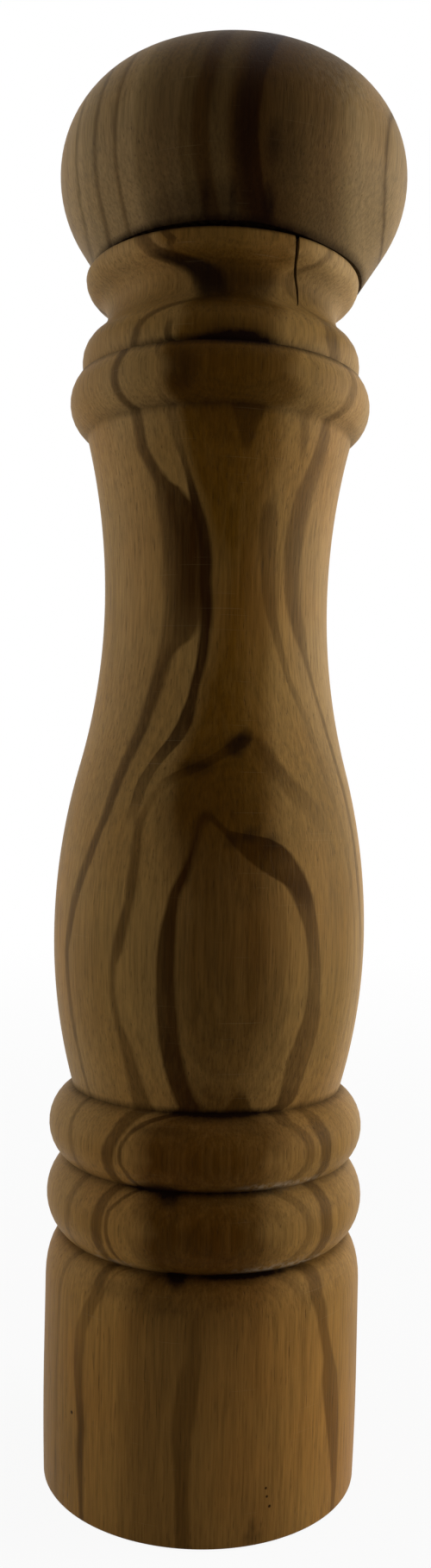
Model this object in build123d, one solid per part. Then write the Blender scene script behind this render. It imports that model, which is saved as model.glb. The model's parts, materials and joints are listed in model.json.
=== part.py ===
from build123d import *
import os
from math import atan2, cos, pi, radians, sin, sqrt

# Turned pepper mill with a ceramic grinder. Sizes in mm, angles in degrees.
# The mill stands on z = 0, and its turning axis is Z.

# Body outline from the foot up: radii, and the height of each stretch
FOOT_R = 29.6
FOOT_EDGE = 0.5
FOOT_TAPER_H = 22.0
BASE_R = 30.0
BASE_H = 45.8
BASE_SHOULDER_H = 8.3
LOWER_QUIRK_R = 26.5
LOWER_BEAD_R = 30.1
LOWER_BEAD_H = 14.4
UPPER_QUIRK_R = 26.9
UPPER_BEAD_R = 29.9
UPPER_BEAD_H = 13.3
VASE_FOOT_R = 25.6
VASE_FOOT_H = 29.3
BULB_R = 29.75
BULB_TO_WAIST_H = 62.4
WAIST_R = 21.4
WAIST_TO_NECK_H = 31.9
NECK_R = 25.4

# Collar: a large bead, a small ring, a cove and the lip under the head
COLLAR_BEAD_R = 28.7
COLLAR_BEAD_H = 10.4
COLLAR_BEAD_TOP_R = 27.3
RING_FOOT_R = 25.9
RING_R = 26.6
RING_H = 3.6
COVE_R = 21.9
RING_TO_COVE_H = 9.1
LIP_R = 26.2
COVE_TO_LIP_H = 6.8
LIP_EDGE = 0.9

# Ball head: it was turned a little off the body's axis
HEAD_R = 33.25
HEAD_OFFSET = 1.75
HEAD_CROWN_H = 21.6
HEAD_CROWN_R = 60.0
HEAD_UNDERSIDE_H = 17.7
HEAD_UNDERSIDE_R = 21.3
HEAD_UNDERSIDE_SLOPE = 33.0
HEAD_SEAT_SETBACK = 2.1
HEAD_SEAT_H = 0.6
HEAD_GAP = 0.3
TENON_L = 18.0
TENON_EDGE = 0.8

# Bores in the body
CHAMBER_R = 14.0
BORE_EDGE = 0.6
TENON_CLEARANCE = 0.3

# Burrs: a fluted ceramic cone that turns in a fluted ceramic ring
INNER_BURR_R = 13.0
INNER_BURR_TOP_R = 8.0
INNER_BURR_H = 16.0
BURR_LAND_H = 2.0
BURR_DROP = 0.7
GRIND_GAP = 0.6
FEED_GAP = 5.0
OUTER_BURR_WALL = 2.9
OUTER_BURR_H = 14.0
FLUTE_DEPTH = 1.5
FLUTE_W = 3.4
FLUTE_SKEW = 16.0
INNER_FLUTES = 10
OUTER_FLUTES = 14

# Grinder housing
FLANGE_SETBACK = 10.0
FLANGE_T = 3.0
FLANGE_BAND = 6.2
HOUSING_WALL = 2.3
RETAINER_LIP = 1.1
RETAINER_T = 3.0
RETAINER_SETBACK = 2.0
RETAINER_BORE_GAP = 1.2
RETAINER_NOTCH_W = 2.5
RETAINER_NOTCH_H = 1.5
LEDGE_W = 3.2
FUNNEL_LIP = 1.6
SPIDER_ARMS = 3
SPIDER_ARM_ANGLE = 30.0
SPIDER_ARM_W = 4.0
SPIDER_T = 4.0
SPIDER_SETBACK = 0.5
SPIDER_HUB_WALL = 3.4
HOUSING_SCREWS = 3
HOUSING_SCREW_ANGLE = 90.0

# Shaft, spindle and what turns with them
SHAFT_AF = 6.0
SHAFT_TIP_SETBACK = 1.0
SHAFT_TIP_EDGE = 0.8
SPINDLE_WALL = 1.5
SPINDLE_HEX_AF = 7.0
SPINDLE_FLANGE_W = 2.5
SPINDLE_FLANGE_T = 2.0
SPINDLE_SOCKET_L = 12.0
SPINDLE_SOCKET_FLOOR = 2.0
STUD_R = 3.0
ADJUST_TRAVEL = 0.75
TRAVEL_MARGIN = 0.25
THRUST_WASHER_T = 0.8
THRUST_WASHER_W = 3.1
CLIP_T = 0.8
CLIP_DEPTH = 0.7
CLIP_W = 2.9
CLIP_MOUTH_W = 6.4
AUGER_H = 8.0
AUGER_WALL = 1.5
AUGER_RISE = 1.0
AUGER_CLEARANCE = 2.5
AUGER_FINS = 3
AUGER_FIN_T = 1.8
AUGER_FIN_PITCH = 24.0

# Spring between the spindle's flange and the inner burr
SPRING_H = 10.6
SPRING_WIRE = 0.9
SPRING_TURNS = 5
SPRING_STEPS_PER_TURN = 4
SPRING_SAMPLES_PER_TURN = 36
SPRING_CLEARANCE = 0.5
SPRING_SEAT_T = 0.5
SPRING_SEAT_LIP = 0.8

# Burr carrier, adjusting knob and its stop
CARRIER_WALL = 1.5
CARRIER_TUBE_H = 8.7
CARRIER_FLANGE_R = 9.5
CARRIER_FLANGE_T = 1.8
CARRIER_KEY_W = 2.0
CARRIER_KEY_H = 5.5
CARRIER_KEY_DEPTH = 1.0
CARRIER_KEYS = 2
KNOB_R = 10.5
KNOB_H = 4.0
KNOB_EDGE = 0.6
KNOB_HUB_R = 5.6
KNOB_HUB_H = 2.0
KNOB_SCALLOPS = 12
KNOB_SCALLOP_R = 1.9
KNOB_SCALLOP_DEPTH = 0.9
STOP_WASHER_R = 4.6
STOP_WASHER_T = 0.8
STOP_SCREW_R = 1.25
STOP_SCREW_L = 7.0
STOP_SCREW_HEAD_R = 2.8
STOP_SCREW_HEAD_H = 1.5

# Head socket
SOCKET_FLANGE_T = 1.8
SOCKET_FLANGE_SETBACK = 0.7
SOCKET_TUBE_WALL = 2.8
SOCKET_RIB = 2.5
SOCKET_RIB_W = 1.6
SOCKET_RIBS = 6
SOCKET_HEADROOM = 3.0
SOCKET_CAP_T = 2.0
SOCKET_SCREWS = 2

# Screws
WOOD_SCREW_R = 1.4
WOOD_SCREW_HEAD_R = 2.6
WOOD_SCREW_L = 13.0
SOCKET_SCREW_R = 1.1
SOCKET_SCREW_HEAD_R = 2.0
SOCKET_SCREW_HEAD_H = 1.4
SOCKET_SCREW_L = 9.0
SCREW_TIP_L = 2.5
RECESS_W = 0.7
RECESS_DEPTH = 0.9
RECESS_SPAN = 1.5

# Clearances
FIT = 0.1
RUNNING_FIT = 0.05
AXIAL_PLAY = 0.1
HEX_FIT = 0.2
HOUSING_CLEARANCE = 0.3
FLUSH_CUT = 1.0
QUARTER_TURN = 90.0


def hex_corner(across_flats):
    """Radius of a hexagon's corners."""
    return across_flats / 2 / cos(pi / 6)


# Heights and radii that follow from the sizes above
LOWER_BEAD_Z = BASE_H
UPPER_BEAD_Z = LOWER_BEAD_Z + LOWER_BEAD_H
VASE_Z = UPPER_BEAD_Z + UPPER_BEAD_H
BULB_Z = VASE_Z + VASE_FOOT_H
WAIST_Z = BULB_Z + BULB_TO_WAIST_H
NECK_Z = WAIST_Z + WAIST_TO_NECK_H
RING_FOOT_Z = NECK_Z + COLLAR_BEAD_H
RING_Z = RING_FOOT_Z + RING_H
COVE_Z = RING_Z + RING_TO_COVE_H
LIP_Z = COVE_Z + COVE_TO_LIP_H
RIM_Z = LIP_Z + LIP_EDGE

OUTER_BURR_R = INNER_BURR_R + GRIND_GAP + OUTER_BURR_WALL
BURR_SEAT_R = OUTER_BURR_R + FIT
BARREL_R = BURR_SEAT_R + HOUSING_WALL
HOUSING_BORE_R = BARREL_R + HOUSING_CLEARANCE
FLANGE_R = BARREL_R + FLANGE_BAND
RECESS_R = FLANGE_R + HOUSING_CLEARANCE
SCREW_CIRCLE_R = BARREL_R + FLANGE_BAND / 2

FLANGE_TOP_Z = FLANGE_SETBACK + FLANGE_T
RETAINER_Z = FLANGE_SETBACK + RETAINER_SETBACK
OUTER_BURR_Z = RETAINER_Z + RETAINER_T
OUTER_BURR_TOP_Z = OUTER_BURR_Z + OUTER_BURR_H
INNER_BURR_Z = OUTER_BURR_Z - BURR_DROP
INNER_BURR_TOP_Z = INNER_BURR_Z + INNER_BURR_H
SPRING_Z = INNER_BURR_TOP_Z + SPRING_SEAT_T
SPINDLE_FLANGE_Z = SPRING_Z + SPRING_H
SPIDER_Z = SPINDLE_FLANGE_Z + SPINDLE_FLANGE_T + AXIAL_PLAY
SPIDER_TOP_Z = SPIDER_Z + SPIDER_T
HOUSING_TOP_Z = SPIDER_TOP_Z + SPIDER_SETBACK
HOUSING_BORE_Z = HOUSING_TOP_Z + HOUSING_CLEARANCE
THRUST_WASHER_TOP_Z = SPIDER_TOP_Z + THRUST_WASHER_T
CLIP_Z = THRUST_WASHER_TOP_Z + AXIAL_PLAY
CLIP_TOP_Z = CLIP_Z + CLIP_T
AUGER_Z = CLIP_TOP_Z + AXIAL_PLAY
SPINDLE_SOCKET_Z = CLIP_TOP_Z + SPINDLE_SOCKET_FLOOR
SPINDLE_TOP_Z = SPINDLE_SOCKET_Z + SPINDLE_SOCKET_L

JOURNAL_R = hex_corner(SHAFT_AF + FIT) + SPINDLE_WALL
HUB_BORE_R = JOURNAL_R + RUNNING_FIT
CARRIER_R = hex_corner(SPINDLE_HEX_AF + HEX_FIT) + CARRIER_WALL
BURR_BORE_R = hex_corner(SPINDLE_HEX_AF) + SPRING_CLEARANCE
SPRING_R = BURR_BORE_R + SPRING_WIRE / 2

CARRIER_Z = INNER_BURR_Z - CARRIER_FLANGE_T
KNOB_Z = CARRIER_Z - KNOB_H
KNOB_HUB_Z = KNOB_Z - KNOB_HUB_H
HEX_Z = CARRIER_Z + ADJUST_TRAVEL + TRAVEL_MARGIN
STUD_Z = KNOB_HUB_Z - ADJUST_TRAVEL - TRAVEL_MARGIN
STOP_WASHER_Z = STUD_Z - STOP_WASHER_T

HEAD_SEAT_Z = RIM_Z + HEAD_GAP
HEAD_EDGE_Z = HEAD_SEAT_Z + HEAD_SEAT_H
HEAD_Z = HEAD_EDGE_Z + HEAD_UNDERSIDE_H
HEAD_TOP_Z = HEAD_Z + HEAD_CROWN_H
HEAD_SEAT_R = LIP_R - LIP_EDGE - HEAD_SEAT_SETBACK
TENON_R = CHAMBER_R - TENON_CLEARANCE
TENON_Z = HEAD_SEAT_Z - TENON_L

SHAFT_TIP_Z = RIM_Z - SHAFT_TIP_SETBACK
SOCKET_Z = TENON_Z - SOCKET_FLANGE_T
SOCKET_BORE_TOP_Z = SHAFT_TIP_Z + SOCKET_HEADROOM
SOCKET_TOP_Z = SOCKET_BORE_TOP_Z + SOCKET_CAP_T
SOCKET_TUBE_R = hex_corner(SHAFT_AF + HEX_FIT) + SOCKET_TUBE_WALL
SOCKET_R = SOCKET_TUBE_R + SOCKET_RIB
SOCKET_BORE_R = SOCKET_R + FIT
SOCKET_SCREW_CIRCLE_R = (SOCKET_BORE_R + TENON_R) / 2


def disc(radius, low, high):
    """A round piece about the axis between two heights."""
    return Pos(0, 0, low) * Cylinder(radius, high - low, align=(Align.CENTER, Align.CENTER, Align.MIN))


def ring(outer_r, inner_r, low, high):
    """A disc with a hole through it."""
    return disc(outer_r, low, high) - disc(inner_r, low - FLUSH_CUT, high + FLUSH_CUT)


def hex_bar(across_flats, low, high):
    """A hexagonal bar about the axis between two heights."""
    section = RegularPolygon(across_flats / 2, 6, major_radius=False)
    return extrude(Pos(0, 0, low) * section, high - low)


def block(x_low, x_high, width, low, high):
    """A block across the X axis, centred on it, between two heights."""
    size = (x_high - x_low, width, high - low)
    return Pos((x_low + x_high) / 2, 0, (low + high) / 2) * Box(*size)


def around(shape, count, start=0.0):
    """Copies of a shape, evenly spaced about the axis."""
    return [Rot(0, 0, start + 360 * i / count) * shape for i in range(count)]


def turned(edges):
    """The solid that a closed outline of (radius, height) edges turns about the axis."""
    return revolve(Plane.XZ * make_face(edges), Axis.Z)


def upright_arc(upright, other):
    """An arc that runs parallel to the axis at its first point and ends at its second."""
    step, rise = other[0] - upright[0], other[1] - upright[1]
    radius = (step**2 + rise**2) / (2 * step)
    half_turn = atan2(rise, abs(radius) - abs(step)) / 2
    middle = (upright[0] + radius * (1 - cos(half_turn)), upright[1] + abs(radius) * sin(half_turn))
    return ThreePointArc(upright, middle, other)


def ogee(low, high):
    """Two equal arcs that run parallel to the axis at both ends and change over half way."""
    half_way = ((low[0] + high[0]) / 2, (low[1] + high[1]) / 2)
    return [upright_arc(low, half_way), upright_arc(high, half_way)]


def bead(low, high, crest_r):
    """A round bead between two points."""
    return ThreePointArc(low, (crest_r, (low[1] + high[1]) / 2), high)


def polyline(points):
    """Straight edges from point to point."""
    return [Line(a, b) for a, b in zip(points, points[1:])]


def driver_recess(head_z):
    """A cross recess cut up into a screw head whose lower face is at a height."""
    bar = block(-RECESS_SPAN, RECESS_SPAN, RECESS_W, head_z - FLUSH_CUT, head_z + RECESS_DEPTH)
    return bar + Rot(0, 0, 90) * bar


def domed_screw(head_r, head_h, shank):
    """A screw from below: a round-edged head, and a shank whose outline starts under the head."""
    seat_z = shank[0][1]
    low = seat_z - head_h
    edge = head_h / 2
    dome = upright_arc((head_r, low + edge), (head_r - edge, low))
    rest = [(head_r, low + edge), (head_r, seat_z), *shank, (0, low), (head_r - edge, low)]
    return turned([dome, *polyline(rest)]) - driver_recess(low)


def body():
    """The wooden body: beads, vase and collar outside, chamber and stepped grinder bore inside."""
    foot_edge = (FOOT_R, FOOT_EDGE)
    base_low = (BASE_R, FOOT_TAPER_H)
    base_high = (BASE_R, BASE_H - BASE_SHOULDER_H)
    lower_quirk = (LOWER_QUIRK_R, LOWER_BEAD_Z)
    upper_quirk = (UPPER_QUIRK_R, UPPER_BEAD_Z)
    vase_foot = (VASE_FOOT_R, VASE_Z)
    bulb = (BULB_R, BULB_Z)
    waist = (WAIST_R, WAIST_Z)
    neck = (NECK_R, NECK_Z)
    bead_top = (COLLAR_BEAD_TOP_R, RING_FOOT_Z)
    ring_foot = (RING_FOOT_R, RING_FOOT_Z)
    ring_crest = (RING_R, RING_Z)
    cove = (COVE_R, COVE_Z)
    lip = (LIP_R, LIP_Z)
    rim = (LIP_R - LIP_EDGE, RIM_Z)
    shoulder = EllipticalCenterArc(
        (LOWER_QUIRK_R, base_high[1]), BASE_R - LOWER_QUIRK_R, BASE_SHOULDER_H, arc_size=QUARTER_TURN
    )
    inside = [
        rim,
        (CHAMBER_R + BORE_EDGE, RIM_Z),
        (CHAMBER_R, RIM_Z - BORE_EDGE),
        (CHAMBER_R, HOUSING_BORE_Z),
        (HOUSING_BORE_R, HOUSING_BORE_Z),
        (HOUSING_BORE_R, FLANGE_TOP_Z),
        (RECESS_R, FLANGE_TOP_Z),
        (RECESS_R, BORE_EDGE),
        (RECESS_R + BORE_EDGE, 0),
        (FOOT_R - FOOT_EDGE, 0),
    ]
    outline = [
        upright_arc(foot_edge, inside[-1]),
        upright_arc(base_low, foot_edge),
        Line(base_low, base_high),
        shoulder,
        bead(lower_quirk, upper_quirk, LOWER_BEAD_R),
        bead(upper_quirk, vase_foot, UPPER_BEAD_R),
        upright_arc(bulb, vase_foot),
        *ogee(bulb, waist),
        upright_arc(waist, neck),
        bead(neck, bead_top, COLLAR_BEAD_R),
        Line(bead_top, ring_foot),
        upright_arc(ring_crest, ring_foot),
        *ogee(ring_crest, cove),
        *ogee(cove, lip),
        upright_arc(lip, rim),
        *polyline(inside),
    ]
    pilot_depth = WOOD_SCREW_L - FLANGE_T + AXIAL_PLAY
    pilot = disc(WOOD_SCREW_R + RUNNING_FIT, FLANGE_TOP_Z - FLUSH_CUT, FLANGE_TOP_Z + pilot_depth)
    return turned(outline) - around(Pos(SCREW_CIRCLE_R, 0, 0) * pilot, HOUSING_SCREWS, HOUSING_SCREW_ANGLE)


def head_knob():
    """The ball head with its seat ring, its tenon and the blind bore for the socket."""
    side_r = (2 * HEAD_CROWN_R * HEAD_CROWN_H - HEAD_R**2 - HEAD_CROWN_H**2) / (2 * (HEAD_CROWN_R - HEAD_R))
    side_centre_r = HEAD_R - side_r
    side_turn = atan2(HEAD_CROWN_R - HEAD_CROWN_H, side_centre_r)
    crown_end = (side_centre_r + side_r * cos(side_turn), HEAD_Z + side_r * sin(side_turn))
    crown_turn = (pi / 2 - side_turn) / 2
    crown_middle = (HEAD_CROWN_R * sin(crown_turn), HEAD_TOP_Z - HEAD_CROWN_R * (1 - cos(crown_turn)))
    slope = radians(HEAD_UNDERSIDE_SLOPE)
    side = (HEAD_R, HEAD_Z)
    under = (HEAD_R - HEAD_UNDERSIDE_R * (1 - cos(slope)), HEAD_Z - HEAD_UNDERSIDE_R * sin(slope))
    edge_r = under[0] - (under[1] - HEAD_EDGE_Z) * sin(slope) / cos(slope)
    ball = turned(
        [
            ThreePointArc((0, HEAD_TOP_Z), crown_middle, crown_end),
            upright_arc(side, crown_end),
            upright_arc(side, under),
            *polyline([under, (edge_r, HEAD_EDGE_Z), (0, HEAD_EDGE_Z), (0, HEAD_TOP_Z)]),
        ]
    )
    seat = disc(HEAD_SEAT_R, HEAD_SEAT_Z, HEAD_EDGE_Z)
    tenon = turned(
        polyline(
            [
                (0, TENON_Z),
                (TENON_R - TENON_EDGE, TENON_Z),
                (TENON_R, TENON_Z + TENON_EDGE),
                (TENON_R, HEAD_SEAT_Z),
                (0, HEAD_SEAT_Z),
                (0, TENON_Z),
            ]
        )
    )
    bore = disc(SOCKET_BORE_R, TENON_Z - FLUSH_CUT, SOCKET_TOP_Z + FIT)
    pilot_depth = SOCKET_SCREW_L - SOCKET_FLANGE_T + AXIAL_PLAY
    pilot = disc(SOCKET_SCREW_R + RUNNING_FIT, TENON_Z - FLUSH_CUT, TENON_Z + pilot_depth)
    pilots = around(Pos(SOCKET_SCREW_CIRCLE_R, 0, 0) * pilot, SOCKET_SCREWS)
    return Pos(HEAD_OFFSET, 0, 0) * ball + seat + tenon - bore - pilots


def head_socket():
    """The drive insert in the tenon: a flange, a ribbed tube and a blind hexagonal bore."""
    flange_r = TENON_R - SOCKET_FLANGE_SETBACK
    rib = block(0, SOCKET_R, SOCKET_RIB_W, SOCKET_Z, SOCKET_TOP_Z)
    solid = disc(flange_r, SOCKET_Z, TENON_Z) + disc(SOCKET_TUBE_R, SOCKET_Z, SOCKET_TOP_Z)
    solid += around(rib, SOCKET_RIBS)
    solid -= hex_bar(SHAFT_AF + HEX_FIT, SOCKET_Z - FLUSH_CUT, SOCKET_BORE_TOP_Z)
    hole = disc(SOCKET_SCREW_R + FIT, SOCKET_Z - FLUSH_CUT, TENON_Z + FLUSH_CUT)
    return solid - around(Pos(SOCKET_SCREW_CIRCLE_R, 0, 0) * hole, SOCKET_SCREWS)


def socket_screws():
    """Domed screws that hold the socket's flange up to the tenon."""
    top = SOCKET_Z + SOCKET_SCREW_L
    shank = [(SOCKET_SCREW_R, SOCKET_Z), (SOCKET_SCREW_R, top - SCREW_TIP_L), (0, top)]
    screw = domed_screw(SOCKET_SCREW_HEAD_R, SOCKET_SCREW_HEAD_H, shank)
    return Compound(children=around(Pos(SOCKET_SCREW_CIRCLE_R, 0, 0) * screw, SOCKET_SCREWS))


def drive_shaft():
    """The hexagonal bar from the spindle's socket up into the head, with a turned tip."""
    corner_r = hex_corner(SHAFT_AF)
    envelope = turned(
        polyline(
            [
                (0, SPINDLE_SOCKET_Z),
                (corner_r, SPINDLE_SOCKET_Z),
                (corner_r, SHAFT_TIP_Z - SHAFT_TIP_EDGE),
                (corner_r - SHAFT_TIP_EDGE, SHAFT_TIP_Z),
                (0, SHAFT_TIP_Z),
                (0, SPINDLE_SOCKET_Z),
            ]
        )
    )
    return hex_bar(SHAFT_AF, SPINDLE_SOCKET_Z, SHAFT_TIP_Z) & envelope


def drive_spindle():
    """The spindle: shaft socket, grooved journal, spring flange, hexagon and stud."""
    solid = disc(JOURNAL_R, SPINDLE_FLANGE_Z, SPINDLE_TOP_Z)
    solid += disc(JOURNAL_R + SPINDLE_FLANGE_W, SPINDLE_FLANGE_Z, SPINDLE_FLANGE_Z + SPINDLE_FLANGE_T)
    solid += hex_bar(SPINDLE_HEX_AF, HEX_Z, SPINDLE_FLANGE_Z)
    solid += disc(STUD_R, STUD_Z, HEX_Z)
    solid -= ring(JOURNAL_R + FLUSH_CUT, JOURNAL_R - CLIP_DEPTH, CLIP_Z, CLIP_TOP_Z)
    solid -= hex_bar(SHAFT_AF + FIT, SPINDLE_SOCKET_Z, SPINDLE_TOP_Z + FLUSH_CUT)
    pilot_top = STUD_Z + STOP_SCREW_L - STOP_WASHER_T + AXIAL_PLAY
    return solid - disc(STOP_SCREW_R + RUNNING_FIT, STUD_Z - FLUSH_CUT, pilot_top)


def thrust_washer():
    """The washer on top of the spider."""
    return ring(HUB_BORE_R + THRUST_WASHER_W, HUB_BORE_R, SPIDER_TOP_Z, THRUST_WASHER_TOP_Z)


def retaining_clip():
    """The open clip in the spindle's groove."""
    inner_r = JOURNAL_R - CLIP_DEPTH + RUNNING_FIT
    outer_r = inner_r + CLIP_W
    mouth = block(0, outer_r + FLUSH_CUT, CLIP_MOUTH_W, CLIP_Z - FLUSH_CUT, CLIP_TOP_Z + FLUSH_CUT)
    return ring(outer_r, inner_r, CLIP_Z, CLIP_TOP_Z) - mouth


def feed_auger():
    """The collar on the spindle whose slanted fins drive the peppercorns down."""
    top = AUGER_Z + AUGER_H
    collar_r = JOURNAL_R + RUNNING_FIT + AUGER_WALL
    fin_r = CHAMBER_R - AUGER_CLEARANCE
    middle = (AUGER_Z + AUGER_RISE + top) / 2
    fin_l = fin_r - JOURNAL_R - AUGER_WALL / 2
    fin_h = AUGER_H - AUGER_RISE
    fin = Rot(AUGER_FIN_PITCH, 0, 0) * Box(fin_l, AUGER_FIN_T, fin_h)
    fin = Pos(fin_r - fin_l / 2, 0, middle) * fin
    fins = Part() + around(fin, AUGER_FINS)
    fins &= ring(fin_r, JOURNAL_R + AUGER_WALL / 2, AUGER_Z, top)
    return ring(collar_r, JOURNAL_R + RUNNING_FIT, AUGER_Z, top) + fins


def biarc(start, start_run, end, end_run):
    """Two tangent arcs from one point and direction to another."""
    chord, run = end - start, start_run + end_run
    turn = 2 * (1 - start_run.dot(end_run))
    along = chord.dot(run)
    reach = (sqrt(along**2 + turn * chord.dot(chord)) - along) / turn
    join = (start + end + (start_run - end_run) * reach) * 0.5
    join_run = (join - start - start_run * reach).normalized()
    return [TangentArc(start, join, tangent=start_run), TangentArc(join, end, tangent=join_run)]


def burr_spring():
    """An open compression spring, wound right-handed on quarter-turn biarcs."""
    low = SPRING_Z + SPRING_WIRE / 2 + RUNNING_FIT
    rise = SPRING_H - SPRING_WIRE - 2 * RUNNING_FIT
    end_turn = 2 * pi * SPRING_TURNS
    climb = rise / end_turn

    def point(turn):
        return Vector(SPRING_R * cos(turn), SPRING_R * sin(turn), low + climb * turn)

    def run(turn):
        return Vector(-SPRING_R * sin(turn), SPRING_R * cos(turn), climb).normalized()

    step_count = SPRING_TURNS * SPRING_STEPS_PER_TURN
    steps = [end_turn * i / step_count for i in range(step_count + 1)]
    arcs = []
    for a, b in zip(steps, steps[1:]):
        arcs += biarc(point(a), run(a), point(b), run(b))
    sample_count = SPRING_TURNS * SPRING_SAMPLES_PER_TURN
    samples = [end_turn * i / sample_count for i in range(sample_count + 1)]
    gaps = [
        (point(a) - point(b)).length - SPRING_WIRE
        for i, a in enumerate(samples)
        for b in samples[i + SPRING_SAMPLES_PER_TURN // 2 :]
    ]
    print(f"burr_spring least gap to itself: {min(gaps):.2f} mm")
    section = Plane(origin=point(0), z_dir=run(0)) * Circle(SPRING_WIRE / 2)
    return sweep(section, Wire(arcs))


def flute(low, high, depth):
    """A square bar on edge that cuts a flute along a wall, from nothing at low to full depth at high.

    low and high are (radius, height) on the wall, and a negative depth cuts a wall that faces inwards.
    """
    half_diagonal = FLUTE_W / 2 * (1 if depth > 0 else -1)
    start = Vector(low[0] + half_diagonal, 0, low[1])
    end = Vector(high[0] + half_diagonal - depth, 0, high[1])
    reach = (end - start).normalized() * FLUSH_CUT
    section = Plane(origin=start, x_dir=(0, 1, 0), z_dir=end - start) * RegularPolygon(FLUTE_W / 2, 4)
    bar = extrude(section, (end + reach - start).length)
    return Pos(0, 0, low[1]) * Rot(FLUTE_SKEW, 0, 0) * Pos(0, 0, -low[1]) * bar


def inner_burr():
    """The fluted cone, bored and keyed for its carrier."""
    land_z = INNER_BURR_Z + BURR_LAND_H
    tube_top = INNER_BURR_Z + CARRIER_TUBE_H + AXIAL_PLAY
    cone = turned(
        polyline(
            [
                (BURR_BORE_R, INNER_BURR_TOP_Z),
                (INNER_BURR_TOP_R, INNER_BURR_TOP_Z),
                (INNER_BURR_R, land_z),
                (INNER_BURR_R, INNER_BURR_Z),
                (CARRIER_R + FIT, INNER_BURR_Z),
                (CARRIER_R + FIT, tube_top),
                (BURR_BORE_R, tube_top),
                (BURR_BORE_R, INNER_BURR_TOP_Z),
            ]
        )
    )
    keyway_r = CARRIER_R + CARRIER_KEY_DEPTH + FIT
    keyway_top = INNER_BURR_Z + CARRIER_KEY_H + AXIAL_PLAY
    keyway = block(0, keyway_r, CARRIER_KEY_W + 2 * FIT, INNER_BURR_Z - FLUSH_CUT, keyway_top)
    groove = flute((INNER_BURR_R, land_z), (INNER_BURR_TOP_R, INNER_BURR_TOP_Z), FLUTE_DEPTH)
    return cone - around(keyway, CARRIER_KEYS) - around(groove, INNER_FLUTES)


def outer_burr():
    """The fluted ring that the cone grinds against."""
    low_r = INNER_BURR_R + GRIND_GAP
    top_r = INNER_BURR_TOP_R + FEED_GAP
    land_z = OUTER_BURR_Z + BURR_LAND_H
    shell = turned(
        polyline(
            [
                (low_r, OUTER_BURR_Z),
                (OUTER_BURR_R, OUTER_BURR_Z),
                (OUTER_BURR_R, OUTER_BURR_TOP_Z),
                (top_r, OUTER_BURR_TOP_Z),
                (low_r, land_z),
                (low_r, OUTER_BURR_Z),
            ]
        )
    )
    groove = flute((low_r, land_z), (top_r, OUTER_BURR_TOP_Z), -FLUTE_DEPTH)
    return shell - around(groove, OUTER_FLUTES)


def spring_seat():
    """The washer that keeps the spring's end off the ceramic."""
    return ring(SPRING_R + SPRING_WIRE / 2 + SPRING_SEAT_LIP, BURR_BORE_R, INNER_BURR_TOP_Z, SPRING_Z)


def burr_carrier():
    """The bush that drives the inner burr: a flange, a keyed tube and a hexagonal bore."""
    tube_top = INNER_BURR_Z + CARRIER_TUBE_H
    key = block(0, CARRIER_R + CARRIER_KEY_DEPTH, CARRIER_KEY_W, CARRIER_Z, INNER_BURR_Z + CARRIER_KEY_H)
    solid = disc(CARRIER_FLANGE_R, CARRIER_Z, INNER_BURR_Z) + disc(CARRIER_R, CARRIER_Z, tube_top)
    solid += around(key, CARRIER_KEYS)
    return solid - hex_bar(SPINDLE_HEX_AF + HEX_FIT, CARRIER_Z - FLUSH_CUT, tube_top + FLUSH_CUT)


def countersink(radius, head_r, low):
    """A screw hole up from a height, with its countersink at the lower end."""
    sink = turned(polyline([(0, low), (head_r, low), (0, low + head_r), (0, low)]))
    return sink + disc(radius, low, FLANGE_TOP_Z + FLUSH_CUT)


def grinder_housing():
    """The moulded housing: screw flange, burr seat, feed funnel and bearing spider."""
    retainer_r = BURR_SEAT_R + RETAINER_LIP
    ledge_r = BURR_SEAT_R - LEDGE_W
    funnel_r = BARREL_R - FUNNEL_LIP
    shell = turned(
        polyline(
            [
                (retainer_r, FLANGE_SETBACK),
                (FLANGE_R, FLANGE_SETBACK),
                (FLANGE_R, FLANGE_TOP_Z),
                (BARREL_R, FLANGE_TOP_Z),
                (BARREL_R, HOUSING_TOP_Z),
                (funnel_r, HOUSING_TOP_Z),
                (funnel_r, SPIDER_Z),
                (ledge_r, OUTER_BURR_TOP_Z + FUNNEL_LIP),
                (ledge_r, OUTER_BURR_TOP_Z),
                (BURR_SEAT_R, OUTER_BURR_TOP_Z),
                (BURR_SEAT_R, OUTER_BURR_Z),
                (retainer_r, OUTER_BURR_Z),
                (retainer_r, FLANGE_SETBACK),
            ]
        )
    )
    arm = block(0, BARREL_R - FUNNEL_LIP / 2, SPIDER_ARM_W, SPIDER_Z, SPIDER_TOP_Z)
    spider = disc(HUB_BORE_R + SPIDER_HUB_WALL, SPIDER_Z, SPIDER_TOP_Z)
    spider += around(arm, SPIDER_ARMS, SPIDER_ARM_ANGLE)
    spider -= disc(HUB_BORE_R, SPIDER_Z - FLUSH_CUT, SPIDER_TOP_Z + FLUSH_CUT)
    hole = countersink(WOOD_SCREW_R + FIT, WOOD_SCREW_HEAD_R + FIT, FLANGE_SETBACK)
    return shell + spider - around(Pos(SCREW_CIRCLE_R, 0, 0) * hole, HOUSING_SCREWS, HOUSING_SCREW_ANGLE)


def burr_retainer():
    """The ring that holds the outer burr up, with two notches for a spanner."""
    outer_r = BURR_SEAT_R + RETAINER_LIP - FIT
    inner_r = INNER_BURR_R + RETAINER_BORE_GAP
    notch_top = RETAINER_Z + RETAINER_NOTCH_H
    notch = block(-outer_r, outer_r, RETAINER_NOTCH_W, RETAINER_Z - FLUSH_CUT, notch_top)
    return ring(outer_r, inner_r, RETAINER_Z, OUTER_BURR_Z) - notch


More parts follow.
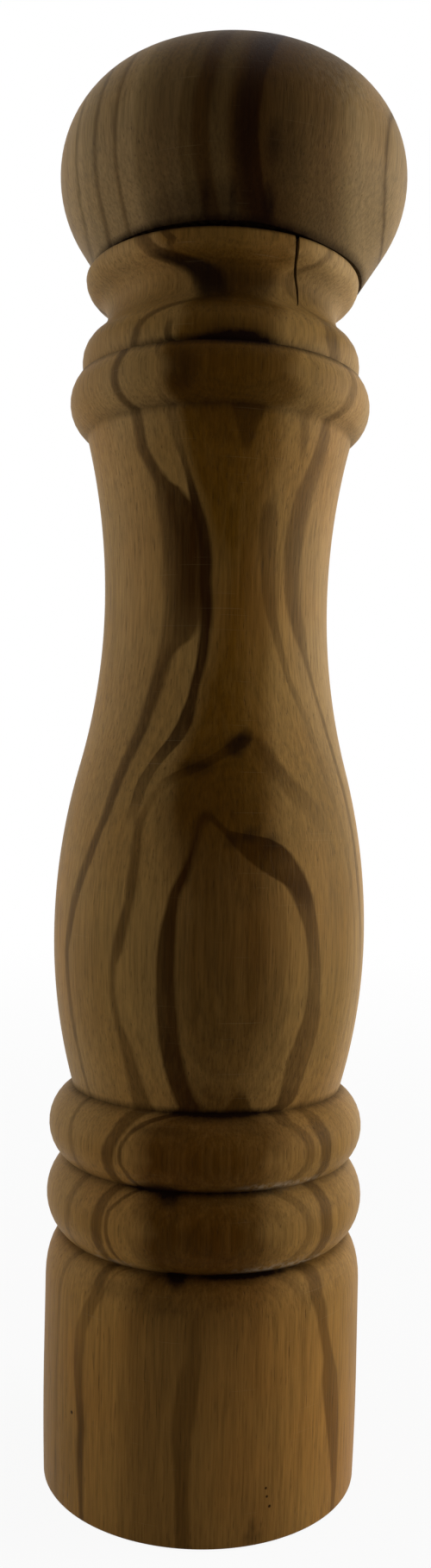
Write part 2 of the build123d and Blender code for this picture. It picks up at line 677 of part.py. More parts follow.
def housing_screws():
    """Countersunk wood screws through the housing's flange."""
    top = FLANGE_SETBACK + WOOD_SCREW_L
    screw = turned(
        polyline(
            [
                (0, FLANGE_SETBACK),
                (WOOD_SCREW_HEAD_R, FLANGE_SETBACK),
                (WOOD_SCREW_R, FLANGE_SETBACK + WOOD_SCREW_HEAD_R - WOOD_SCREW_R),
                (WOOD_SCREW_R, top - SCREW_TIP_L),
                (0, top),
                (0, FLANGE_SETBACK),
            ]
        )
    )
    screw -= driver_recess(FLANGE_SETBACK)
    return Compound(children=around(Pos(SCREW_CIRCLE_R, 0, 0) * screw, HOUSING_SCREWS, HOUSING_SCREW_ANGLE))


def adjusting_knob():
    """The scalloped knob on the spindle's stud."""
    rim = [
        (0, KNOB_HUB_Z),
        (KNOB_HUB_R, KNOB_HUB_Z),
        (KNOB_HUB_R, KNOB_Z),
        (KNOB_R - KNOB_EDGE, KNOB_Z),
        (KNOB_R, KNOB_Z + KNOB_EDGE),
        (KNOB_R, CARRIER_Z),
        (0, CARRIER_Z),
        (0, KNOB_HUB_Z),
    ]
    scallop_x = KNOB_R + KNOB_SCALLOP_R - KNOB_SCALLOP_DEPTH
    scallop = Pos(scallop_x, 0, 0) * disc(KNOB_SCALLOP_R, KNOB_Z - FLUSH_CUT, CARRIER_Z + FLUSH_CUT)
    knob = turned(polyline(rim)) - around(scallop, KNOB_SCALLOPS)
    return knob - disc(STUD_R + RUNNING_FIT, KNOB_HUB_Z - FLUSH_CUT, CARRIER_Z + FLUSH_CUT)


def stop_washer():
    """The washer under the spindle's end that the knob can't pass."""
    return ring(STOP_WASHER_R, STOP_SCREW_R + FIT, STOP_WASHER_Z, STUD_Z)


def stop_screw():
    """The screw that holds the stop washer to the spindle."""
    top = STOP_WASHER_Z + STOP_SCREW_L
    shank = [(STOP_SCREW_R, STOP_WASHER_Z), (STOP_SCREW_R, top), (0, top)]
    return domed_screw(STOP_SCREW_HEAD_R, STOP_SCREW_HEAD_H, shank)


NODES = [
    body,
    head_knob,
    head_socket,
    socket_screws,
    drive_shaft,
    drive_spindle,
    thrust_washer,
    retaining_clip,
    feed_auger,
    burr_spring,
    spring_seat,
    inner_burr,
    outer_burr,
    burr_carrier,
    grinder_housing,
    burr_retainer,
    housing_screws,
    adjusting_knob,
    stop_washer,
    stop_screw,
]

os.makedirs("parts", exist_ok=True)
for node in NODES:
    export_step(node(), f"parts/{node.__name__}.step")
print(f"mill: {HEAD_TOP_Z:.1f} mm tall, base {2 * BASE_R:.1f} mm, head {2 * HEAD_R:.1f} mm across")
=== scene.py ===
# %% [markdown]
# # A turned pepper mill
# The mill is two pieces of streaked, oiled wood: a tall turned body and a ball
# for a head, with a grinder hidden in a bore through the middle. The packed
# model already holds every part in its place, so this lesson loads it as a
# fixed frame and dresses it.

# %% Load the frame
import json

import bpy
import numpy as np
from mathutils import Matrix, Vector

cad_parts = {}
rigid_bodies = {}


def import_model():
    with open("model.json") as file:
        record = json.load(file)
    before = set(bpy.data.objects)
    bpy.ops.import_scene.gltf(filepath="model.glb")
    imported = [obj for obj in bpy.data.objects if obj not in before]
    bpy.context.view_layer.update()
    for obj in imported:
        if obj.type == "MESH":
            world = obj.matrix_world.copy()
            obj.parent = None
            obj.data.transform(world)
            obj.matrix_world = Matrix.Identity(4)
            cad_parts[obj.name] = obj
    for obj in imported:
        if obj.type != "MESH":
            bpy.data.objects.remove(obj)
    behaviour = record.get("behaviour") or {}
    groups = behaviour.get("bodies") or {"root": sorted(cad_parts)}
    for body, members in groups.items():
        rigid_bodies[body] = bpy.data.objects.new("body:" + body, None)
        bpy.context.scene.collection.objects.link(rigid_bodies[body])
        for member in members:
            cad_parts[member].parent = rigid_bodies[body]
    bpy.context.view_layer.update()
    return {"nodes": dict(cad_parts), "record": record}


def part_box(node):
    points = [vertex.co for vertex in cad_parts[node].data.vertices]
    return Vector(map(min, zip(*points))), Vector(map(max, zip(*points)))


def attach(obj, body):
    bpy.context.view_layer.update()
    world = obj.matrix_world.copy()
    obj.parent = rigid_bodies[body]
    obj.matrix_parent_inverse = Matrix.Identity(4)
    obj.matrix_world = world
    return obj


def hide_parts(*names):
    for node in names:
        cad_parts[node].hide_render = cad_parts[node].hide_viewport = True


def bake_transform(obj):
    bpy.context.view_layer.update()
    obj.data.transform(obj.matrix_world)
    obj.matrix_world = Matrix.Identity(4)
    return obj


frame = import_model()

MM = 0.001

# %% [markdown]
# # The camera
# The mill was taken from close by: its beads bow as rings do when the eye is
# near their height, and the foot shows no underside. A level camera a quarter
# of a metre in front, at mid height, gives that. The mill leans a degree to the
# right in the picture, so the camera is rolled instead of the mill.

# %% Camera
CAMERA_DISTANCE = 251.3
CAMERA_HEIGHT = 129.43
CAMERA_ROLL = 1.2025
CAMERA_SHIFT = 0.00226, 0.00528
SENSOR, LENS = 36.0, 29.84

camera = bpy.data.objects.new("camera", bpy.data.cameras.new("camera"))
bpy.context.scene.collection.objects.link(camera)
camera.data.sensor_width = SENSOR
camera.data.lens = LENS
camera.data.shift_x, camera.data.shift_y = CAMERA_SHIFT
place = Matrix.Translation((0, -CAMERA_DISTANCE * MM, CAMERA_HEIGHT * MM))
level = Matrix.Rotation(np.pi / 2, 4, "X")
camera.matrix_world = place @ level @ Matrix.Rotation(np.radians(CAMERA_ROLL), 4, "Z")
bpy.context.scene.camera = camera
bpy.context.scene.view_settings.view_transform = "Standard"
print("camera:", [round(c, 4) for c in camera.location])

# %% [markdown]
# # Node helpers
# A shader is a graph, and a graph is easier to read when one line adds a node,
# sets it and links it. `node` does that: a number sets a socket, another node's
# output is linked to it. Socket names with spaces are written with underscores.

# %% Node helpers
def plug(tree, socket, value):
    """Links an output to the socket, or sets the socket's own value."""
    if isinstance(value, bpy.types.NodeSocket):
        tree.links.new(value, socket)
    else:
        socket.default_value = value


def node(tree, kind, settings=None, **sockets):
    """Adds a shader node with its settings and its named sockets."""
    made = tree.nodes.new("ShaderNode" + kind)
    for name, value in (settings or {}).items():
        setattr(made, name, value)
    for name, value in sockets.items():
        plug(tree, made.inputs[name.replace("_", " ")], value)
    return made


def maths(tree, operation, *values, clamp=False):
    """One sum: the operation on the values, in order."""
    made = node(tree, "Math", {"operation": operation, "use_clamp": clamp})
    for socket, value in zip(made.inputs, values):
        plug(tree, socket, value)
    return made.outputs[0]


def blend(tree, share, first, second, how="MIX"):
    """Mixes two colours: share 0 is the first, 1 the second. The node repeats its
    sockets for each kind of data, and those for colours come third."""
    made = node(tree, "Mix", {"data_type": "RGBA", "blend_type": how})
    for socket, value in zip((0, 6, 7), (share, first, second)):
        plug(tree, made.inputs[socket], value)
    return made.outputs[2]


def ramp(tree, value, stops, how="LINEAR"):
    """A colour ramp: stops are pairs of place and colour (or grey level)."""
    made = node(tree, "ValToRGB", Fac=value)
    made.color_ramp.interpolation = how
    steps = made.color_ramp.elements
    while len(steps) < len(stops):
        steps.new(0.5)
    for step, (place, colour) in zip(steps, stops):
        step.position = place
        grey = isinstance(colour, float)
        step.color = (colour,) * 3 + (1,) if grey else (*colour, 1)
    return made.outputs[0]


def new_material(name):
    """A material, and its graph with nothing in it."""
    material = bpy.data.materials.new(name)
    material.use_nodes = True
    material.node_tree.nodes.clear()
    return material, material.node_tree


def output(tree, shader, kind="OutputMaterial"):
    """Sends a shader to the surface of a material, or of the world."""
    node(tree, kind, Surface=shader)


# %% [markdown]
# # Floor, light and background
# The picture is a cut-out on white, lit from both sides, stronger on the right,
# with a dim front. Two large soft lamps beside the mill do that, and a lamp
# above gives the shoulders of the beads their pale edge. The world is white to
# the eye and in reflections, but lends the mill only a low, even light. The
# floor is white to the eye too, except where the mill shades it.

# %% World
WHITE = (1, 1, 1, 1)
WORLD_FILL = 0.085


def lit_or_seen(tree, lit, glow, bare=None):
    """Mixes two shaders: glow for the rays that the eye follows, straight, mirrored
    or through glass, and lit for the light that falls on the mill. With bare, only
    that share of the eye's rays meets the glow."""
    path = node(tree, "LightPath").outputs
    seen = maths(tree, "ADD", path["Is Camera Ray"], path["Is Glossy Ray"])
    seen = maths(tree, "ADD", seen, path["Is Transmission Ray"], clamp=True)
    seen = seen if bare is None else maths(tree, "MULTIPLY", seen, bare)
    mixed = node(tree, "MixShader", Fac=seen)
    tree.links.new(lit.outputs[0], mixed.inputs[1])
    tree.links.new(glow.outputs[0], mixed.inputs[2])
    return mixed.outputs[0]


world = bpy.data.worlds.new("studio")
bpy.context.scene.world = world
world.use_nodes = True
tree = world.node_tree
tree.nodes.clear()
low_light = node(tree, "Background", Color=WHITE, Strength=WORLD_FILL)
bright = node(tree, "Background", Color=WHITE, Strength=1.0)
output(tree, lit_or_seen(tree, low_light, bright), "OutputWorld")
print("world lends", WORLD_FILL, "of its white to the mill")

# %% Lamps
# Each lamp: power in watts, place, width and height, in metres.
LAMPS = {
    "right lamp": (11.5, (0.9, 0.06, 0.12), 0.7, 0.9),
    "left lamp": (4.7, (-0.9, 0.0, 0.16), 0.7, 0.9),
    "top lamp": (1.5, (0.15, -0.1, 1.0), 0.6, 0.6),
}
LAMP_AIM = (0, 0, 0.14)


def soft_lamp(name, power, place, width, height):
    """A rectangular lamp at a place, turned to shine at the middle of the mill."""
    lamp = bpy.data.objects.new(name, bpy.data.lights.new(name, "AREA"))
    bpy.context.scene.collection.objects.link(lamp)
    lamp.data.shape = "RECTANGLE"
    lamp.data.size, lamp.data.size_y = width, height
    lamp.data.energy = power
    lamp.location = place
    ahead = Vector(LAMP_AIM) - lamp.location
    lamp.rotation_euler = ahead.to_track_quat("-Z", "Y").to_euler()
    lamp.visible_camera = False


for name, settings in LAMPS.items():
    soft_lamp(name, *settings)
print("lit by", ", ".join(LAMPS))

# %% Floor
FLOOR_REACH = 3.0
FLOOR_DROP = 0.0001
FLOOR_PAPER = (0.82, 0.82, 0.81, 1)
FLOOR_WHITE = 0.93
SHADE_NEAR, SHADE_FAR = 0.05, 0.9

floor_mesh = bpy.data.meshes.new("floor")
corner = np.array([[-1, -1], [1, -1], [1, 1], [-1, 1]]) * FLOOR_REACH
corner = np.column_stack([corner, np.full(4, -FLOOR_DROP)])
floor_mesh.from_pydata(corner.tolist(), [], [(0, 1, 2, 3)])
floor = bpy.data.objects.new("floor", floor_mesh)
bpy.context.scene.collection.objects.link(floor)
material, tree = new_material("floor_paper")
paper = node(tree, "BsdfPrincipled", Base_Color=FLOOR_PAPER, Roughness=0.9)
glow = node(tree, "Emission", Color=WHITE, Strength=1.0)
away = node(tree, "VectorMath", {"operation": "LENGTH"})
plug(tree, away.inputs[0], node(tree, "TexCoord").outputs["Object"])
bare = node(tree, "MapRange", {"interpolation_type": "SMOOTHSTEP"}, Value=away.outputs["Value"],
            From_Min=SHADE_NEAR, From_Max=SHADE_FAR, To_Min=FLOOR_WHITE, To_Max=1.0)
output(tree, lit_or_seen(tree, paper, glow, bare.outputs[0]))
floor_mesh.materials.append(material)
print("floor reaches", FLOOR_REACH, "m each way")

# %% [markdown]
# # The turned outline
# A turner works to an outline: beads, coves and long curves that meet at sharp
# grooves. Each curve here is one arc of a circle, so three small functions draw
# them all. An arc goes through three points. An upright arc starts parallel to
# the axis, as a bulb does at its widest and a waist at its narrowest. An ogee is
# two upright arcs that meet halfway.

# %% Curves of the outline
ROW_STEP = 1.25


def arc(start, through, end):
    """Circle through three points: its centre is equally far from each, which
    is two linear equations, and its points are evenly spaced in angle."""
    a, m, b = (np.array(p, float) for p in (start, through, end))
    sides = 2 * np.array([m - a, b - a])
    centre = np.linalg.solve(sides, np.array([m @ m - a @ a, b @ b - a @ a]))
    turn = np.unwrap([np.arctan2(*(p - centre)[::-1]) for p in (a, m, b)])
    radius = np.linalg.norm(a - centre)
    count = max(5, int(radius * abs(turn[2] - turn[0]) / ROW_STEP) + 1)
    t = np.linspace(turn[0], turn[2], count)
    return centre + radius * np.column_stack([np.cos(t), np.sin(t)])


def upright(start, end):
    """Arc that leaves start parallel to the axis and stops at end: its radius
    is (step squared + rise squared) / (2 step), with its centre level with start."""
    step, rise = end[0] - start[0], end[1] - start[1]
    radius = (step**2 + rise**2) / (2 * step)
    half = np.arctan2(rise, abs(radius) - abs(step)) / 2
    middle = (start[0] + radius * (1 - np.cos(half)),
              start[1] + abs(radius) * np.sin(half))
    return arc(start, middle, end)


def ogee(low, high):
    """Two upright arcs, one from each end, meeting halfway between them."""
    middle = (np.array(low) + np.array(high)) / 2
    return np.vstack([upright(low, middle), upright(high, middle)[::-1]])


def bead(low, high, crest):
    """Arc from low to high that swells to the crest radius at half height."""
    return arc(low, (crest, (low[1] + high[1]) / 2), high)


def run(start, end, step):
    """Straight line in steps of about the given length."""
    count = max(2, int(np.hypot(end[0] - start[0], end[1] - start[1]) / step) + 1)
    return np.linspace(start, end, count)


def joined(*pieces):
    """The pieces end to end, with the points that repeat left out."""
    line = np.vstack(pieces)
    moved = np.hypot(*np.diff(line, axis=0).T) > 1e-6
    return line[np.r_[True, moved]]


# %% [markdown]
# # The body's outline
# From the floor up: a plain foot with a worn edge and a round shoulder, two
# beads, a long bulb that narrows to a waist, a neck, a large bead, a thin ring,
# a cove and a lip. Inside run the chamber for the peppercorns, the bore for the
# grinder's housing and a wide recess for its flange.

# %% Outline of the body
# Places on the outline: radius, height.
FOOT, FOOT_EDGE = (29.6, 0.5), 0.5
SWELL, SHOULDER = (30.0, 22.0), (30.0, 37.5)
LOW_GROOVE, MID_GROOVE, HIGH_GROOVE = (26.5, 45.8), (26.9, 60.2), (25.6, 73.5)
BULB, WAIST, NECK_GROOVE = (29.75, 102.8), (21.4, 165.2), (25.4, 197.1)
BEAD_TOP, RING_FOOT, RING = (27.3, 207.5), (25.9, 207.5), (26.6, 211.1)
COVE, LIP, LIP_TOP = (21.9, 220.2), (26.2, 227.0), (25.3, 227.9)
LOW_BEAD_R, HIGH_BEAD_R, LARGE_BEAD_R = 30.1, 29.9, 28.7
# Radii and heights of the bores.
CHAMBER_R, HOUSING_R, RECESS_R = 14.0, 19.2, 25.4
CHAMBER_Z, HOUSING_Z, BORE_EDGE = 48.3, 13.0, 0.6

inner_r = FOOT[0] - FOOT_EDGE
bend = FOOT_EDGE * np.sqrt(0.5)
t = np.linspace(0, np.pi / 2, 9)
shoulder_step = np.array(LOW_GROOVE) - SHOULDER
shoulder = SHOULDER + shoulder_step * np.column_stack([1 - np.cos(t), np.sin(t)])
outside = joined(
    arc((inner_r, 0), (inner_r + bend, FOOT_EDGE - bend), FOOT),
    upright(SWELL, FOOT)[::-1],
    run(SWELL, SHOULDER, ROW_STEP),
    shoulder,
    bead(LOW_GROOVE, MID_GROOVE, LOW_BEAD_R),
    bead(MID_GROOVE, HIGH_GROOVE, HIGH_BEAD_R),
    upright(BULB, HIGH_GROOVE)[::-1],
    ogee(BULB, WAIST),
    upright(WAIST, NECK_GROOVE),
    bead(NECK_GROOVE, BEAD_TOP, LARGE_BEAD_R),
    run(BEAD_TOP, RING_FOOT, ROW_STEP),
    upright(RING, RING_FOOT)[::-1],
    ogee(RING, COVE),
    ogee(COVE, LIP),
    upright(LIP, LIP_TOP),
)
bore = [LIP_TOP, (CHAMBER_R + BORE_EDGE, LIP_TOP[1]), (CHAMBER_R, LIP_TOP[1] - BORE_EDGE),
        (CHAMBER_R, CHAMBER_Z), (HOUSING_R, CHAMBER_Z), (HOUSING_R, HOUSING_Z),
        (RECESS_R, HOUSING_Z), (RECESS_R, BORE_EDGE), (RECESS_R + BORE_EDGE, 0), (inner_r, 0)]
bore_steps = [1.8, 1.0, 9.0, 2.6, 6.0, 3.1, 3.0, 1.0, 1.3]
inside = joined(*map(run, bore, bore[1:], bore_steps))[1:-1]
body_line = np.vstack([outside, inside])
outer_rows = len(outside)
print("body outline:", outer_rows, "points outside,", len(inside), "inside")

# %% [markdown]
# # Skin over a grid of points
# Both turned pieces are grids: rows along the outline, columns round the axis.
# The body's outline is a closed loop, so its last row joins its first. The
# head's outline starts and ends on the axis, so each end is one point with a
# fan of triangles. Faces are listed so that they point away from the wood.

# %% Skin over a grid
SHARP_ANGLE = np.radians(40)


def skin(name, points, material, poles=False):
    """A mesh over points[row, column]. Each face joins a row to the next row and
    a column to the next column, round to the first. Rows close into a loop, or
    with poles the first and last rows shrink to single points."""
    rows, columns = points.shape[:2]
    index = np.arange(rows * columns).reshape(rows, columns)
    after = np.roll(index, -1, axis=1)
    low, high = (index[1:-2], index[2:-1]) if poles else (index, np.roll(index, -1, 0))
    low_after, high_after = (after[1:-2], after[2:-1]) if poles else (
        after, np.roll(after, -1, 0))
    quads = np.stack([low, low_after, high_after, high], axis=-1).reshape(-1, 4)
    corners, sizes = quads.ravel(), np.full(len(quads), 4)
    vertices = points.reshape(-1, 3)
    if poles:
        first = np.stack([np.full(columns, index[0, 0]), after[1], index[1]], -1)
        last = np.stack([index[-2], after[-2], np.full(columns, index[-1, 0])], -1)
        corners = np.r_[corners, first.ravel(), last.ravel()]
        sizes = np.r_[sizes, np.full(2 * columns, 3)]
        used = np.r_[index[0, 0], index[1:-1].ravel(), index[-1, 0]]
        place = np.zeros(rows * columns, int)
        place[used] = np.arange(len(used))
        corners, vertices = place[corners], vertices[used]
    mesh = bpy.data.meshes.new(name)
    mesh.vertices.add(len(vertices))
    mesh.vertices.foreach_set("co", (vertices * MM).astype(np.float32).ravel())
    mesh.loops.add(len(corners))
    mesh.loops.foreach_set("vertex_index", corners.astype(np.int32))
    mesh.polygons.add(len(sizes))
    starts = np.r_[0, np.cumsum(sizes)[:-1]].astype(np.int32)
    mesh.polygons.foreach_set("loop_start", starts)
    mesh.polygons.foreach_set("use_smooth", np.ones(len(sizes), bool))
    mesh.update(calc_edges=True)
    mesh.set_sharp_from_angle(angle=SHARP_ANGLE)
    mesh.materials.append(material)
    piece = bpy.data.objects.new(name, mesh)
    bpy.context.scene.collection.objects.link(piece)
    print(name, len(vertices), "points,", int((sizes - 2).sum()), "triangles")
    return piece


def paint(piece, **layers):
    """Stores a number, or three, at each point under a name the material reads."""
    for name, values in layers.items():
        single = values.ndim == 1
        kind, field = ("FLOAT", "value") if single else ("FLOAT_VECTOR", "vector")
        stored = piece.data.attributes.new(name, kind, "POINT")
        stored.data.foreach_set(field, values.astype(np.float32).ravel())


# %% [markdown]
# # The crack in the lip
# The lip has split along the grain, a thin black crack that runs down into the
# cove. A crack is a real gap, so the body's grid has ten columns drawn together
# along it, and the inner ones are pushed into the wood. The other columns are
# eased aside so that they still run in order round the ring.

# %% Columns round the body, drawn to the crack
# Columns beside the crack's own ten. Angles: where the crack stands, how far round
# from it the others are eased aside, and the gap that they leave to its middle.
COLUMNS = 284
CRACK_ANGLE, CRACK_REACH, CRACK_GAP = np.radians([30, 40, 1.8])
# Depth, the power by which the walls fall to it, and the largest sine of its angle.
CRACK_DEPTH, WALL_CURVE, MOST_SINE = 2.2, 0.7, 0.75
# The crack's height, its place across the front and half its width.
CRACK_Z = [216.8, 219.9, 222.2, 223.4, 225.5, 228.0]
CRACK_X = [13.6, 13.5, 13.0, 12.9, 13.1, 13.0]
CRACK_WIDE = [0.12, 0.28, 0.32, 0.28, 0.38, 0.44]
# Heights between which the columns turn to it and between which it deepens, and
# radii between which it sets in on the flat top.
TURN_Z, DEEPEN_Z, FADE_R = (212.0, 217.0), (216.8, 220.8), (21.5, 25.0)
# The crack's columns, in half widths from its middle.
ACROSS = np.array([[-1.6, -1.25, -1, -0.6, -0.2, 0.2, 0.6, 1, 1.25, 1.6]])


def part_way(value, low, high):
    """How far a value has come from low to high: 0 up to low, 1 from high on."""
    return np.clip((value - low) / (high - low), 0, 1)


row_r, row_z = body_line[:, :1], body_line[:, 1:]
is_outer = (np.arange(len(body_line)) < outer_rows)[:, None]
on_top = np.isclose(row_z, LIP_TOP[1])
lead = part_way(row_z, *TURN_Z) * (is_outer | on_top)
lead = lead * np.where(on_top, part_way(row_r, *FADE_R), 1)
crack_x = np.interp(row_z, CRACK_Z, CRACK_X)
slant = (np.arcsin(np.clip(crack_x / row_r, 0, MOST_SINE)) - CRACK_ANGLE) * lead
open_half = np.interp(row_z, CRACK_Z, CRACK_WIDE)
sunk = CRACK_DEPTH * part_way(row_z, *DEEPEN_Z) * lead

t = np.linspace(0, 1, COLUMNS)[None, :]
away = CRACK_GAP + (2 * np.pi - 2 * CRACK_GAP) * t
near = np.where(away > np.pi, away - 2 * np.pi, away)
ease = np.where(np.abs(near) < CRACK_REACH, np.cos(np.pi / 2 * near / CRACK_REACH) ** 2, 0)
crack_angles = CRACK_ANGLE + slant + ACROSS * open_half / row_r
other_angles = CRACK_ANGLE + away + slant * ease
body_angle = np.hstack([crack_angles, other_angles])
in_crack = np.hstack([np.clip(1 - np.abs(ACROSS), 0, 1) * np.ones_like(row_r),
                      np.zeros_like(other_angles)])

before, behind = np.roll(body_line, 1, 0), np.roll(body_line, -1, 0)
along = behind - before
along = along / np.hypot(*along.T)[:, None]
push = -sunk * in_crack**WALL_CURVE
body_r = row_r + push * along[:, 1:]
body_z = row_z - push * along[:, :1]
body_x = body_r * np.sin(body_angle)
body_y = -body_r * np.cos(body_angle)
print("columns round the body:", body_angle.shape[1])

# %% [markdown]
# # Sheets of dark growth
# Olive-type wood lays down dark sheets as it grows. The blank was sawn so that
# they face the front, so where the turned surface cuts through one it shows as a
# stripe at the waist and as ovals on the bulb, like height lines on a hill. So
# the figure isn't painted on: each sheet is traced by where its edges show on the
# front, and the outline gives its depth in the wood there. Left and right halves
# are traced apart, because a real sheet is never quite flat.

# %% Depth of the wood
SHEET_TURN = np.radians(8.0)

body_depth = body_x * np.sin(SHEET_TURN) - body_y * np.cos(SHEET_TURN)
body_side = body_x * np.cos(SHEET_TURN) + body_y * np.sin(SHEET_TURN)
print("depth of the wood:", round(float(np.ptp(body_depth)), 1), "mm from back to front")


def depth_at(x, z):
    """Depth of the surface at x and height z: the outline gives the radius and
    Pythagoras the way forward, both measured along the turned axis."""
    radius = np.interp(z, outside[:, 1], outside[:, 0])
    forward = np.sqrt(np.maximum(radius**2 - x**2, 0))
    return x * np.sin(SHEET_TURN) + forward * np.cos(SHEET_TURN)


